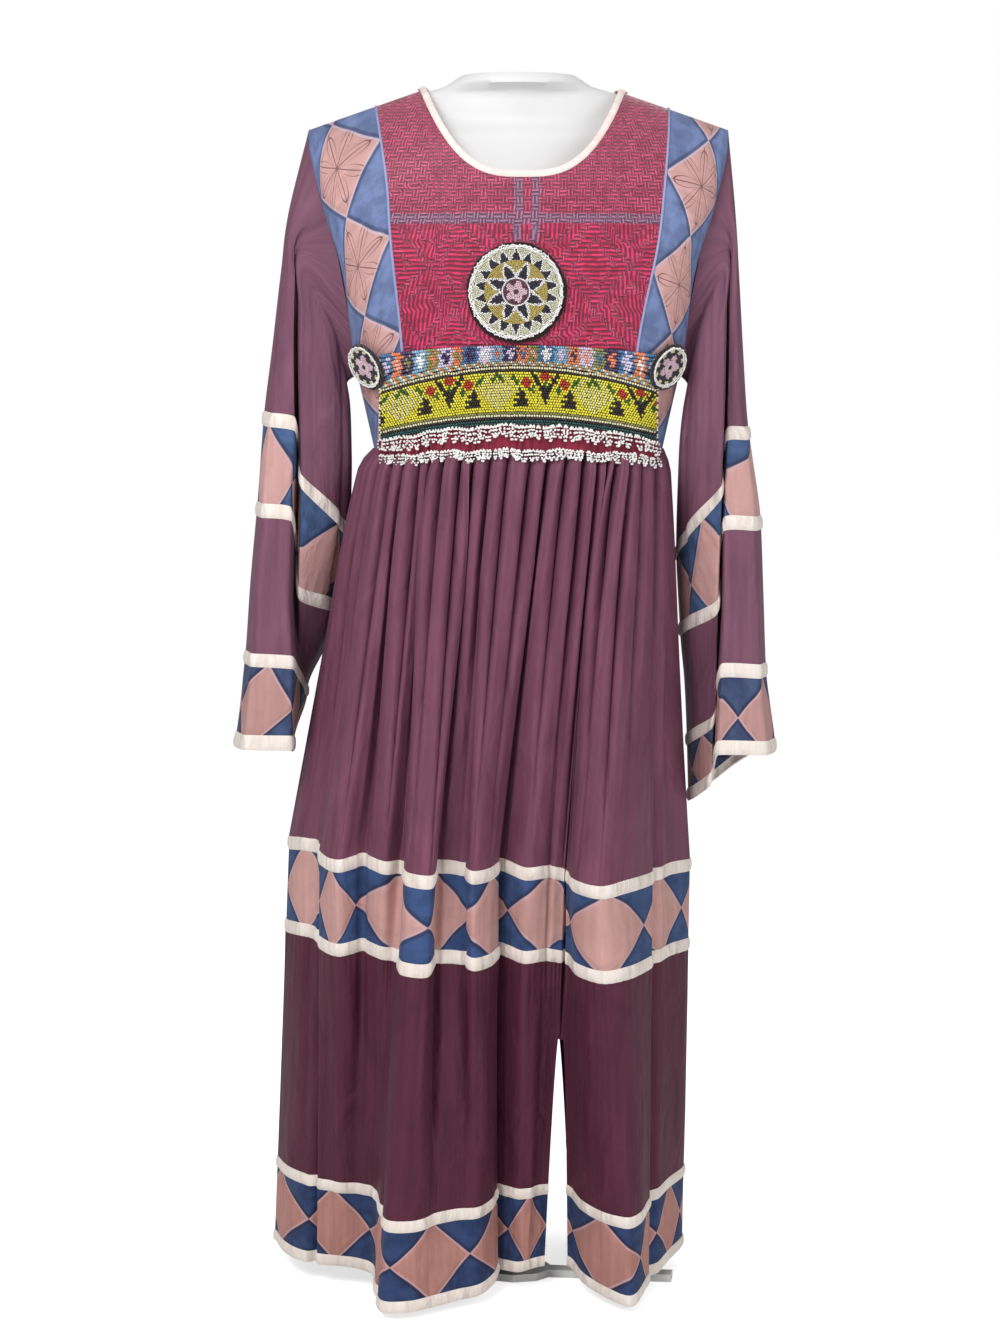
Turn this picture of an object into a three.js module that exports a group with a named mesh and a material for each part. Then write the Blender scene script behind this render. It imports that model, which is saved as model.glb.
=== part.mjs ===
// A kuchi dress on a plain white dress form, in millimetres, +Z up.
// The dress faces -Y and +X is the viewer's right. The origin is under the stand's hub, on the floor.
import * as THREE from "three";

// Thickness of each kind of cloth, and the gap left at every seam
const CLOTH = 1.6;
const TRIM = 2.4;
const SEAM = 0.3;
const ARMHOLE_SEAM = 1.1;
const LIE = 0.35;

// Heights of the main seams, at the middle of the dress
const WAIST_Z = 880;
const UNDERARM_Z = 957;
const SHOULDER_TIP_Z = 1208;
const NECK_POINT_Z = 1247;
const NECK_POINT_X = 102;
const SHOULDER_SLOPE = (NECK_POINT_Z - SHOULDER_TIP_Z) / 114;
const SHOULDER_ROUNDING = 95;
const ARMHOLE_DEPTH = 52;
const OVAL_POWER = 2.3;

// Neck opening: a deep round front and a shallow back
const NECK = { x: 4.5, half: 106, front: 1152, back: 1222, top: 1249, power: 3 };
const BINDING_WIDTH = 6;
const BINDING_SEAM = 0.6;

// Half width of the bodice, and its depth in front of and behind the side seam
const bodiceSections = [
  { z: 880, half: 150, front: 104, back: 88 },
  { z: 925, half: 160, front: 107, back: 90 },
  { z: 957, half: 167, front: 110, back: 92 },
  { z: 1064, half: 181, front: 112, back: 97 },
  { z: 1131, half: 201, front: 106, back: 96 },
  { z: 1208, half: 216, front: 92, back: 86 },
  { z: 1262, half: 216, front: 84, back: 80 },
];

// Where the yoke meets the patchwork side panels
const yokeEdges = [
  { z: 880, left: -112, right: 114 },
  { z: 984, left: -118, right: 120 },
  { z: 1093, left: -129, right: 141 },
  { z: 1150, left: -133, right: 147 },
  { z: 1240, left: -148, right: 156 },
];

// The belt's level seams: height at the middle, and how much lower the ends hang
const BELT_HALF = 138.5;
const BELT_LIE = 1;
const beltLevels = {
  top: { z: 984, drop: 8 },
  strip: { z: 964, drop: 23 },
  band: { z: 905, drop: 16 },
};
// Layers at the belt: first and last height, distance out from the bodice, thickness and waves
const ruffles = [
  { name: "belt_ruffle_upper", top: 904.7, bottom: 887, drop: 14, out: 11, wall: 2.4, waves: 16, swell: 2 },
  { name: "belt_frill", top: 904.7, bottom: 878.5, drop: 10, out: 5.8, wall: 1.6, waves: 12, swell: 0.4 },
  { name: "belt_ruffle_lower", top: 878.2, bottom: 865, drop: 4, out: 8.2, wall: 2.4, waves: 16, swell: 1.6 },
];

// Bead medallions: how far each stands off the bodice, where the side ones lie on the belt's ends
const medallions = [
  { name: "medallion_centre", x: -3, z: 1037, radius: 51, off: 0.35, sides: 24, colour: "#d9d2bb" },
  { name: "medallion_left", x: -152, z: 966, radius: 25, off: 3.9, sides: 14, colour: "#2b2330" },
  { name: "medallion_right", x: 148, z: 966, radius: 25, off: 4.65, sides: 14, colour: "#2b2330" },
];
const MEDALLION_EDGE = 1.6;
const MEDALLION_RIM = { width: 5, share: 0.14, height: 4.6 };
const MEDALLION_FACE = 3.2;
const MEDALLION_BOSS = { start: 0.3, top: 0.22, height: 5.2 };

// Skirt seams, as a share of the way from the middle trim's top edge down to the hem
const skirtLevels = {
  trimTop: 0,
  bandTop: 0.0314,
  bandBottom: 0.2018,
  tierTop: 0.2332,
  hemTrimTop: 0.789,
  hemBandTop: 0.816,
  hemBandBottom: 0.973,
  hem: 1,
};
const MIDDLE_Z = 454;
const MIDDLE_TILT = 0.055;
const HEM_Z = 8;

// The skirt's large folds from the left side across the front to the right side.
// Each row is a ridge or a valley: its place and drop at the middle trim, and its place and rise at the hem.
const frontFolds = [
  { fold: "left side", midX: -243, midY: 32, drop: 0, hemX: -262, hemY: 52, rise: 12 },
  { fold: "left back panel", midX: -228, midY: -5, drop: -5, hemX: -250, hemY: 8, rise: 13 },
  { fold: "step, behind", midX: -210, midY: -24, drop: -6, hemX: -232, hemY: -22, rise: 13 },
  { fold: "step, in front", midX: -205, midY: -62, drop: 0, hemX: -208, hemY: -38, rise: 13 },
  { fold: "left ridge", midX: -184, midY: -98, drop: 2, hemX: -186, hemY: -44, rise: 13 },
  { fold: "left valley", midX: -160, midY: -84, drop: -3, hemX: -168, hemY: -50, rise: 12 },
  { fold: "second ridge", midX: -136, midY: -106, drop: 0, hemX: -153, hemY: -62, rise: 10 },
  { fold: "second valley", midX: -121, midY: -92, drop: 0, hemX: -148, hemY: -112, rise: 4 },
  { fold: "left lobe, edge", midX: -111, midY: -138, drop: 5, hemX: -138, hemY: -160, rise: 0 },
  { fold: "left lobe", midX: -88, midY: -142, drop: 6, hemX: -112, hemY: -160, rise: 0 },
  { fold: "lobe valley", midX: -80, midY: -104, drop: -4, hemX: -88, hemY: -143, rise: 0 },
  { fold: "narrow panel", midX: -62, midY: -104, drop: -4, hemX: -64, hemY: -125, rise: 1 },
  { fold: "third ridge", midX: -47, midY: -130, drop: 1, hemX: -40, hemY: -108, rise: 2 },
  { fold: "third slope", midX: -30, midY: -112, drop: 0, hemX: -26, hemY: -84, rise: 6 },
  { fold: "middle valley", midX: -15, midY: -82, drop: -5, hemX: -17, hemY: -56, rise: 12 },
  { fold: "middle ridge", midX: 8, midY: -108, drop: -2, hemX: 0, hemY: -62, rise: 12 },
  { fold: "middle panel", midX: 30, midY: -94, drop: -3, hemX: 15, hemY: -52, rise: 13 },
  { fold: "vent, left edge", midX: 46, midY: -88, drop: 0, hemX: 28, hemY: -46, rise: 14 },
  { fold: "vent, right edge", midX: 50, midY: -90, drop: 2, hemX: 53, hemY: -46, rise: 14 },
  { fold: "right lobe, edge", midX: 58, midY: -128, drop: 5, hemX: 68, hemY: -80, rise: 6 },
  { fold: "right lobe", midX: 82, midY: -146, drop: 7, hemX: 92, hemY: -120, rise: 2 },
  { fold: "right lobe ridge", midX: 108, midY: -124, drop: 3, hemX: 114, hemY: -142, rise: 0 },
  { fold: "right valley", midX: 138, midY: -66, drop: 2, hemX: 135, hemY: -84, rise: 5 },
  { fold: "right panel", midX: 158, midY: -24, drop: -2, hemX: 157, hemY: -28, rise: 12 },
  { fold: "right side", midX: 184, midY: 32, drop: 0, hemX: 178, hemY: 48, rise: 12 },
];

// Soft folds behind, as a share of the way round from the right side to the left, with their depth
const backFolds = [
  { fold: "first valley", share: 0.07, midOut: -6, hemOut: -9, rise: 12 },
  { fold: "first ridge", share: 0.15, midOut: 10, hemOut: 16, rise: 5 },
  { fold: "second valley", share: 0.23, midOut: -9, hemOut: -15, rise: 10 },
  { fold: "second ridge", share: 0.31, midOut: 8, hemOut: 10, rise: 6 },
  { fold: "vent, right edge", share: 0.385, midOut: -8, hemOut: -12, rise: 12 },
  { fold: "vent, left edge", share: 0.4, midOut: -8, hemOut: -12, rise: 12 },
  { fold: "middle ridge", share: 0.46, midOut: 13, hemOut: 19, rise: 4 },
  { fold: "middle valley", share: 0.53, midOut: -9, hemOut: -16, rise: 11 },
  { fold: "fourth ridge", share: 0.6, midOut: 11, hemOut: 20, rise: 4 },
  { fold: "fourth valley", share: 0.67, midOut: -11, hemOut: -14, rise: 9 },
  { fold: "fifth ridge", share: 0.74, midOut: 14, hemOut: 22, rise: 4 },
  { fold: "fifth valley", share: 0.81, midOut: -8, hemOut: -17, rise: 11 },
  { fold: "sixth ridge", share: 0.87, midOut: 9, hemOut: 15, rise: 5 },
  { fold: "sixth valley", share: 0.92, midOut: -7, hemOut: -10, rise: 10 },
  { fold: "side ridge", share: 0.96, midOut: 4, hemOut: 5, rise: 11 },
];
const BACK_OVAL = {
  middle: { x: -29, half: 212, y: 32, depth: 120 },
  hem: { x: -42, half: 219, y: 50, depth: 108 },
};

// The vents: a narrow cut in the front's deepest valley and one behind it, open from the tip to the hem
const foldNamed = (rows, name) => rows.findIndex((row) => row.fold === name);
const FRONT_VENT = {
  first: foldNamed(frontFolds, "vent, left edge"),
  facing: 1,
  tip: 276,
  tipX: 44,
  hemX: 39.5,
  width: 25,
  shut: 3,
};
const BACK_VENT = {
  first: frontFolds.length + foldNamed(backFolds, "vent, right edge"),
  facing: -1,
  tip: 246,
  tipX: 42,
  hemX: 42,
  width: 34,
  shut: 3,
};
const VENT_OPENING = 0.62;

// Gathers: how far they stand out of the upper tier, down its length
const gatherDepths = [
  { down: 0, depth: 0.8 },
  { down: 0.05, depth: 2.2 },
  { down: 0.3, depth: 5.2 },
  { down: 0.7, depth: 4.2 },
  { down: 1, depth: 0 },
];
const COLUMNS_PER_GATHER = 4;
const COLUMNS_PER_FOLD = 2;
const SKIRT_SPREAD = 0.88;

// Sleeves. Distances out are from the middle of the dress, depths are towards the back.
// Each row is a ring: its outer, folded and inner places, the depths of its front strip, valley, inner lobe,
// inner edge and back, and how far the strip's edge, the lobe and the inner edge hang below the outer edge.
const sleeves = {
  left: {
    side: -1,
    rings: [
      { ring: "cap", z: 1127, outer: 237, fold: 224, inner: 178, front: -45, valley: -42, lobe: -45,
        inside: -4, back: 46, stripDrop: 28, lobeDrop: 60, innerDrop: 180 },
      { ring: "upper", z: 1064, outer: 246, fold: 227, inner: 175, front: -42, valley: -30, lobe: -44,
        inside: -2, back: 50, stripDrop: 12, lobeDrop: 48, innerDrop: 138 },
      { ring: "above elbow", z: 985, outer: 256, fold: 229, inner: 174, front: -38, valley: -8, lobe: -36,
        inside: 8, back: 58, stripDrop: 6, lobeDrop: 52, innerDrop: 112 },
      { ring: "trim 1 top", z: 919, outer: 265, fold: 229, inner: 178, front: -36, valley: 8, lobe: -28,
        inside: 40, back: 72, stripDrop: 6, lobeDrop: 66, innerDrop: 128 },
      { ring: "trim 1 bottom", z: 904, outer: 266.5, fold: 229, inner: 179, front: -36, valley: 9, lobe: -27,
        inside: 42, back: 74, stripDrop: 6, lobeDrop: 66, innerDrop: 128 },
      { ring: "trim 2 top", z: 825, outer: 273, fold: 233, inner: 192, front: -37, valley: 16, lobe: -18,
        inside: 62, back: 88, stripDrop: 5, lobeDrop: 88, innerDrop: 108 },
      { ring: "trim 2 bottom", z: 810, outer: 274.5, fold: 233, inner: 194, front: -37, valley: 17, lobe: -14,
        inside: 64, back: 90, stripDrop: 5, lobeDrop: 88, innerDrop: 108 },
      { ring: "forearm", z: 740, outer: 281.5, fold: 235, inner: 207, front: -37, valley: 20, lobe: 14,
        inside: 74, back: 98, stripDrop: 4, lobeDrop: 58, innerDrop: 74 },
      { ring: "trim 3 top", z: 669, outer: 287, fold: 233, inner: 226, front: -38, valley: 12, lobe: 34,
        inside: 76, back: 102, stripDrop: 3, lobeDrop: 30, innerDrop: 44 },
      { ring: "trim 3 bottom", z: 655, outer: 288.5, fold: 233, inner: 227, front: -38, valley: 11, lobe: 34,
        inside: 76, back: 102, stripDrop: 3, lobeDrop: 29, innerDrop: 42 },
      { ring: "trim 4 top", z: 583, outer: 297, fold: 235, inner: 240, front: -40, valley: -8, lobe: 20,
        inside: 64, back: 98, stripDrop: 0, lobeDrop: 6, innerDrop: 12 },
      { ring: "cuff", z: 567, outer: 300, fold: 235, inner: 242, front: -41, valley: -10, lobe: 18,
        inside: 62, back: 97, stripDrop: 0, lobeDrop: 6, innerDrop: 12 },
    ],
  },
  right: {
    side: 1,
    rings: [
      { ring: "cap", z: 1127, outer: 224, fold: 213, inner: 176, front: -48, valley: -44, lobe: -50,
        inside: -8, back: 46, stripDrop: 24, lobeDrop: 60, innerDrop: 182 },
      { ring: "upper", z: 1055, outer: 229, fold: 214, inner: 170, front: -46, valley: -38, lobe: -58,
        inside: -22, back: 48, stripDrop: 10, lobeDrop: 44, innerDrop: 136 },
      { ring: "above elbow", z: 978, outer: 234, fold: 214, inner: 166, front: -42, valley: -22, lobe: -58,
        inside: -20, back: 52, stripDrop: 4, lobeDrop: 46, innerDrop: 112 },
      { ring: "trim 1 top", z: 903, outer: 240, fold: 213, inner: 168, front: -38, valley: 0, lobe: -44,
        inside: 46, back: 66, stripDrop: 1, lobeDrop: 62, innerDrop: 128 },
      { ring: "trim 1 bottom", z: 889, outer: 242, fold: 213, inner: 168.5, front: -38, valley: 2, lobe: -43,
        inside: 48, back: 68, stripDrop: 1, lobeDrop: 62, innerDrop: 128 },
      { ring: "trim 2 top", z: 810, outer: 254, fold: 211, inner: 173, front: -36, valley: 12, lobe: -36,
        inside: 58, back: 84, stripDrop: 0, lobeDrop: 86, innerDrop: 116 },
      { ring: "trim 2 bottom", z: 795, outer: 255, fold: 211, inner: 174, front: -36, valley: 12, lobe: -34,
        inside: 60, back: 86, stripDrop: 0, lobeDrop: 86, innerDrop: 116 },
      { ring: "forearm", z: 728, outer: 258, fold: 211, inner: 179, front: -36, valley: 6, lobe: -18,
        inside: 66, back: 92, stripDrop: 2, lobeDrop: 76, innerDrop: 98 },
      { ring: "trim 3 top", z: 656, outer: 261, fold: 209, inner: 182, front: -38, valley: 2, lobe: -14,
        inside: 70, back: 96, stripDrop: -2, lobeDrop: 54, innerDrop: 82 },
      { ring: "trim 3 bottom", z: 641, outer: 262, fold: 208.5, inner: 182.5, front: -38, valley: 1,
        lobe: -14.5, inside: 71, back: 97, stripDrop: -2, lobeDrop: 53, innerDrop: 81 },
      { ring: "trim 4 top", z: 576, outer: 271, fold: 206, inner: 184, front: -42, valley: -4, lobe: -22,
        inside: 72, back: 98, stripDrop: -2, lobeDrop: 34, innerDrop: 62 },
      { ring: "cuff", z: 561, outer: 272, fold: 205.5, inner: 184.5, front: -43, valley: -5, lobe: -23,
        inside: 72, back: 98, stripDrop: -2, lobeDrop: 33, innerDrop: 61 },
    ],
  },
};
const SLEEVE_CONTROLS = 10;
const SLEEVE_ROUNDNESS = 0.25;
const SLEEVE_SEAM = 0.8;
// The cleft between a sleeve's strip and lobe: the width of its two slopes, the gap left at its steep seams,
// and the guide points it runs between
const CLEFT = { strip: 5, lobe: 17, seam: 1.9, from: 2, to: 5.5 };
const COLUMNS_PER_CONTROL = 2;
// The pieces of a sleeve: first and last ring, rows of height between them, and thickness
const sleevePieces = [
  { piece: "upper", from: 0, to: 4, rows: 4, kind: "plum" },
  { piece: "trim_1", from: 4, to: 5, rows: 1, kind: "trim" },
  { piece: "elbow_band", from: 5, to: 6, rows: 1, kind: "patch" },
  { piece: "trim_2", from: 6, to: 7, rows: 1, kind: "trim" },
  { piece: "lower", from: 7, to: 9, rows: 2, kind: "plum" },
  { piece: "trim_3", from: 9, to: 10, rows: 1, kind: "trim" },
  { piece: "cuff_band", from: 10, to: 11, rows: 1, kind: "patch" },
  { piece: "trim_4", from: 11, to: 12, rows: 1, kind: "trim" },
];

// The dress form: half width and half depth from its lower end to the neck cap
const SHOULDER_REST = CLOTH + LIE;
const formSections = [
  { z: 668, half: 112, depth: 62, power: 2 },
  { z: 676, half: 122, depth: 70, power: 2 },
  { z: 740, half: 128, depth: 74, power: 2 },
  { z: 840, half: 118, depth: 72, power: 2 },
  { z: 900, half: 116, depth: 74, power: 2 },
  { z: 990, half: 134, depth: 84, power: 2 },
  { z: 1080, half: 150, depth: 84, power: 2 },
  { z: 1140, half: 168, depth: 74, power: 2 },
  { z: 1180, half: 188, depth: 60, power: 1.9 },
  { z: 1200, half: 196, depth: 54, power: 1.7 },
];
const formNeck = [
  { z: 1250, half: 80, depth: 51, power: 1.7 },
  { z: 1258, half: 66, depth: 50, power: 2 },
  { z: 1262, half: 60, depth: 45, power: 2 },
];
const POLE_RADIUS = 11;
const FOOT = { height: 8, hub: 34, arm: 19, reach: 165, turns: [-8, 98, 216] };

// Colours of the finishes
const finishes = {
  plum: { color: "#7a5068", roughness: 0.75 },
  trim: { color: "#e2d8d0", roughness: 0.85 },
  patch: { color: "#b98a83", roughness: 0.85 },
  yoke: { color: "#a8324f", roughness: 0.7 },
  binding: { color: "#dcc6bd", roughness: 0.8 },
  strip: { color: "#4f6f9a", roughness: 0.7 },
  beads: { color: "#c9c63a", roughness: 0.4 },
  whiteBeads: { color: "#eeeae4", roughness: 0.35 },
  maroon: { color: "#7a2238", roughness: 0.8 },
  form: { color: "#f4f4f3", roughness: 0.6 },
  metal: { color: "#ececec", roughness: 0.35, metalness: 0.2 },
};

const dress = new THREE.Group();

function addPiece(name, geometry, finish) {
  const mesh = new THREE.Mesh(geometry, new THREE.MeshStandardMaterial(finish));
  mesh.name = name;
  dress.add(mesh);
  return mesh;
}

// A smooth value between the rows of a table, at a place along its key column
function along(rows, key, place, column) {
  const last = rows.length - 1;
  if (place <= rows[0][key]) return rows[0][column];
  if (place >= rows[last][key]) return rows[last][column];
  let row = 0;
  while (rows[row + 1][key] < place) row += 1;
  const slope = (a, b) => (rows[b][column] - rows[a][column]) / (rows[b][key] - rows[a][key]);
  const here = slope(row, row + 1);
  const before = row > 0 ? slope(row - 1, row) : here;
  const after = row + 1 < last ? slope(row + 1, row + 2) : here;
  const startSlope = before * here > 0 ? (before + here) / 2 : 0;
  const endSlope = after * here > 0 ? (after + here) / 2 : 0;
  const span = rows[row + 1][key] - rows[row][key];
  const t = (place - rows[row][key]) / span;
  const rise = rows[row + 1][column] - rows[row][column];
  const curve = startSlope * span * (t - 2 * t * t + t * t * t) + endSlope * span * (t * t * t - t * t);
  return rows[row][column] + rise * (3 * t * t - 2 * t * t * t) + curve;
}

const signedPower = (value, power) => Math.sign(value) * Math.abs(value) ** power;

// The direction out of a surface given by a function of two numbers, facing away from the garment's middle
function outOf(surface, across, down, step) {
  const right = surface(across + step, down).sub(surface(across - step, down));
  const below = surface(across, down + step).sub(surface(across, down - step));
  return below.cross(right).normalize();
}

// A cloth wall between two grids of points, closed along every free edge. A skipped cell is left open.
function clothWall(outside, inside, closed, isOpen = () => false) {
  const rows = outside.length - 1;
  const points = outside[0].length;
  const cells = closed ? points : points - 1;
  const positions = [];
  for (const grid of [outside, inside]) {
    for (const row of grid) {
      for (const point of row) positions.push(point.x, point.y, point.z);
    }
  }
  const layer = (rows + 1) * points;
  const index = (row, column, inner) => (inner ? layer : 0) + row * points + ((column + points) % points);
  const kept = (row, column) => {
    if (row < 0 || row >= rows) return false;
    if (!closed && (column < 0 || column >= cells)) return false;
    return !isOpen(row, (column + cells) % cells);
  };
  const faces = [];
  const quad = (a, b, c, d) => faces.push(a, b, c, a, c, d);
  for (let row = 0; row < rows; row += 1) {
    for (let column = 0; column < cells; column += 1) {
      if (!kept(row, column)) continue;
      const corner = (down, right, inner) => index(row + down, column + right, inner);
      quad(corner(0, 0, false), corner(1, 0, false), corner(1, 1, false), corner(0, 1, false));
      quad(corner(0, 0, true), corner(0, 1, true), corner(1, 1, true), corner(1, 0, true));
      if (!kept(row - 1, column)) {
        quad(corner(0, 0, true), corner(0, 0, false), corner(0, 1, false), corner(0, 1, true));
      }
      if (!kept(row + 1, column)) {
        quad(corner(1, 0, false), corner(1, 0, true), corner(1, 1, true), corner(1, 1, false));
      }
      if (!kept(row, column - 1)) {
        quad(corner(0, 0, false), corner(0, 0, true), corner(1, 0, true), corner(1, 0, false));
      }
      if (!kept(row, column + 1)) {
        quad(corner(0, 1, true), corner(0, 1, false), corner(1, 1, false), corner(1, 1, true));
      }
    }
  }
  return solidFrom(positions, faces);
}

// A closed mesh from points and faces, turned so that its faces point outwards
function solidFrom(positions, faces) {
  const at = (corner) => new THREE.Vector3().fromArray(positions, faces[corner] * 3);
  let volume = 0;
  for (let face = 0; face < faces.length; face += 3) {
    volume += at(face).dot(at(face + 1).cross(at(face + 2)));
  }
  if (volume < 0) {
    for (let face = 0; face < faces.length; face += 3) {
      [faces[face + 1], faces[face + 2]] = [faces[face + 2], faces[face + 1]];
    }
  }
  const geometry = new THREE.BufferGeometry();
  geometry.setAttribute("position", new THREE.Float32BufferAttribute(positions, 3));
  geometry.setIndex(faces);
  geometry.computeVertexNormals();
  return geometry;
}

// Grids of outer and inner points of a surface function, between two distances from it
function layerGrids(surface, columns, rows, out, wall, step) {
  const outside = [];
  const inside = [];
  for (const down of rows) {
    const outerRow = [];
    const innerRow = [];
    for (const across of columns) {
      const point = surface(across, down);
      const normal = outOf(surface, across, down, step);
      outerRow.push(point.clone().addScaledVector(normal, out));
      innerRow.push(point.clone().addScaledVector(normal, out - wall));
    }
    outside.push(outerRow);
    inside.push(innerRow);
  }
  return [outside, inside];
}

const evenly = (count, from = 0, to = 1) =>
  Array.from({ length: count + 1 }, (_, step) => from + ((to - from) * step) / count);

// The bodice: side -1 is the front, side 1 the back, turn runs from -90 at the left side to 90 at the right
function shoulderZ(x) {
  return NECK_POINT_Z - SHOULDER_SLOPE * (Math.abs(x) - NECK_POINT_X);
}

function armholeDepth(z) {
  const middle = (UNDERARM_Z + SHOULDER_TIP_Z) / 2;
  const reach = (SHOULDER_TIP_Z - UNDERARM_Z) / 2;
  return ARMHOLE_DEPTH * Math.sqrt(Math.max(0, 1 - ((z - middle) / reach) ** 2));
}

function bodicePoint(side, turn, z) {
  const half = along(bodiceSections, "z", z, "half");
  const angle = (turn * Math.PI) / 180;
  const x = half * signedPower(Math.sin(angle), 2 / OVAL_POWER);
  const shape = signedPower(Math.cos(angle), 2 / OVAL_POWER);
  const below = Math.min(1, Math.max(0, (shoulderZ(x) - z) / SHOULDER_ROUNDING));
  const rounding = Math.sqrt(1 - (1 - below) ** 2);
  const armhole = armholeDepth(z);
  const middle = along(bodiceSections, "z", z, side < 0 ? "front" : "back");
  const depth = armhole + (middle * rounding - armhole) * shape;
  return new THREE.Vector3(x, side * (depth + SEAM / 2), z);
}

// The turn at which the bodice has a given x
function turnAt(x, z) {
  const half = along(bodiceSections, "z", z, "half");
  const ratio = Math.min(1, Math.abs(x) / half);
  return (Math.sign(x) * Math.asin(ratio ** (OVAL_POWER / 2)) * 180) / Math.PI;
}

// Height of the bodice's upper edge at x: the neck's curve, or the shoulder seam
function upperEdge(side, x) {
  const share = Math.abs(x - NECK.x) / NECK.half;
  if (share >= 1) return shoulderZ(x);
  const lowest = side < 0 ? NECK.front : NECK.back;
  return Math.min(shoulderZ(x), lowest + (NECK.top - lowest) * share ** NECK.power);
}

// The height where a column, given by its turn at each height, meets the upper edge
function columnTop(side, turnOf) {
  let low = 1100;
  let high = 1262;
  for (let halving = 0; halving < 40; halving += 1) {
    const z = (low + high) / 2;
    if (upperEdge(side, bodicePoint(side, turnOf(z), z).x) > z) low = z;
    else high = z;
  }
  return low;
}

const panelRows = [1, 0.99, 0.96, 0.9, 0.82, 0.7, 0.55, 0.38, 0.2, 0];

// A bodice panel between two edges, each given as its turn at each height
function bodicePanel(name, side, leftTurn, rightTurn, columns, finish) {
  const tops = new Map();
  const turnOf = (across, z) => leftTurn(z) + (rightTurn(z) - leftTurn(z)) * across;
  const topOf = (across) => {
    if (!tops.has(across)) tops.set(across, columnTop(side, (z) => turnOf(across, z)));
    return tops.get(across);
  };
  const outside = [];
  const inside = [];
  for (const share of panelRows) {
    const outerRow = [];
    const innerRow = [];
    for (const across of columns) {
      const z = WAIST_Z + (topOf(across) - WAIST_Z) * share;
      const surface = (turn, down) => bodicePoint(side, turn, -down);
      const turn = turnOf(across, z);
      const point = surface(turn, -z);
      const right = surface(turn + 0.5, -z).sub(surface(turn - 0.5, -z));
      const above = bodicePoint(side, turn, z - 0.6);
      const below = bodicePoint(side, turn, z - 1.6);
      const normal = below.sub(above).cross(right).multiplyScalar(-side).normalize();
      const within = point.clone().addScaledVector(normal, -CLOTH);
      within.y = side * Math.max(SEAM / 2, side * within.y);
      outerRow.push(point);
      innerRow.push(within);
    }
    outside.push(outerRow);
    inside.push(innerRow);
  }
  addPiece(name, clothWall(outside, inside, false), finish);
}

const SEAM_TURN = 0.12;
const yokeLeft = (z) => turnAt(along(yokeEdges, "z", z, "left"), z);
const yokeRight = (z) => turnAt(along(yokeEdges, "z", z, "right"), z);

// The neck's guide points in x, closer together where its curve is steep
const neckXs = (count) => evenly(count).map((share) => NECK.x - NECK.half * Math.cos(share * Math.PI));
const NECK_STEPS = { front: 12, back: 10 };

// Columns of a panel that has the neck opening in it: some on each shoulder and one at each guide point
function neckColumns(side, leftTurn, rightTurn, steps, onShoulder) {
  const inNeck = neckXs(steps).map((x) => {
    const z = upperEdge(side, x);
    return (turnAt(x, z) - leftTurn(z)) / (rightTurn(z) - leftTurn(z));
  });
  const left = evenly(onShoulder, 0, inNeck[0]).slice(0, -1);
  const right = evenly(onShoulder, inNeck[steps], 1).slice(1);
  return [...left, ...inNeck, ...right];
}
const fromSide = () => -90;
const toSide = () => 90;
const yokeColumns = neckColumns(-1, yokeLeft, yokeRight, NECK_STEPS.front, 2);
const backColumns = neckColumns(1, fromSide, toSide, NECK_STEPS.back, 5);
bodicePanel("yoke_front", -1, yokeLeft, yokeRight, yokeColumns, finishes.yoke);
bodicePanel("side_panel_left", -1, fromSide, (z) => yokeLeft(z) - SEAM_TURN, evenly(4), finishes.patch);
bodicePanel("side_panel_right", -1, (z) => yokeRight(z) + SEAM_TURN, toSide, evenly(4), finishes.patch);
bodicePanel("back_panel", 1, fromSide, toSide, backColumns, finishes.plum);

// The neck binding, a narrow strip along the edge of the opening, front and back
function neckPlaces() {
  const front = neckXs(NECK_STEPS.front).map((x) => ({ side: -1, x }));
  const back = neckXs(NECK_STEPS.back).map((x) => ({ side: 1, x }));
  return [...front, ...back.slice(1, -1).reverse()];
}

function neckBinding() {
  const places = neckPlaces().map(({ side, x }) => {
    const z = upperEdge(side, x);
    const turn = turnAt(x, z);
    const right = bodicePoint(side, turn + 0.5, z).sub(bodicePoint(side, turn - 0.5, z));
    const down = bodicePoint(side, turn, z - 1.6).sub(bodicePoint(side, turn, z - 0.6));
    const normal = down.cross(right).multiplyScalar(-side).normalize();
    return { point: bodicePoint(side, turn, z), normal };
  });
  const outside = [[], []];
  const inside = [[], []];
  places.forEach(({ point, normal }, step) => {
    const next = places[(step + 1) % places.length].point;
    const last = places[(step + places.length - 1) % places.length].point;
    const tangent = next.clone().sub(last).normalize();
    const inward = normal.clone().cross(tangent).normalize();
    [BINDING_SEAM, BINDING_SEAM + BINDING_WIDTH].forEach((reach, row) => {
      const place = point.clone().addScaledVector(inward, reach);
      outside[row].push(place.clone().addScaledVector(normal, (TRIM - CLOTH) / 2));
      inside[row].push(place.clone().addScaledVector(normal, (TRIM - CLOTH) / 2 - TRIM));
    });
  });
  addPiece("neck_binding", clothWall(outside, inside, true), finishes.binding);
}
neckBinding();

// The belt: each layer lies on the bodice, from one sagging level to the next
function beltSurface(x, z, drop) {
  const level = z - drop * (x / BELT_HALF) ** 2;
  return bodicePoint(-1, turnAt(x, level), level);
}

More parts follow.
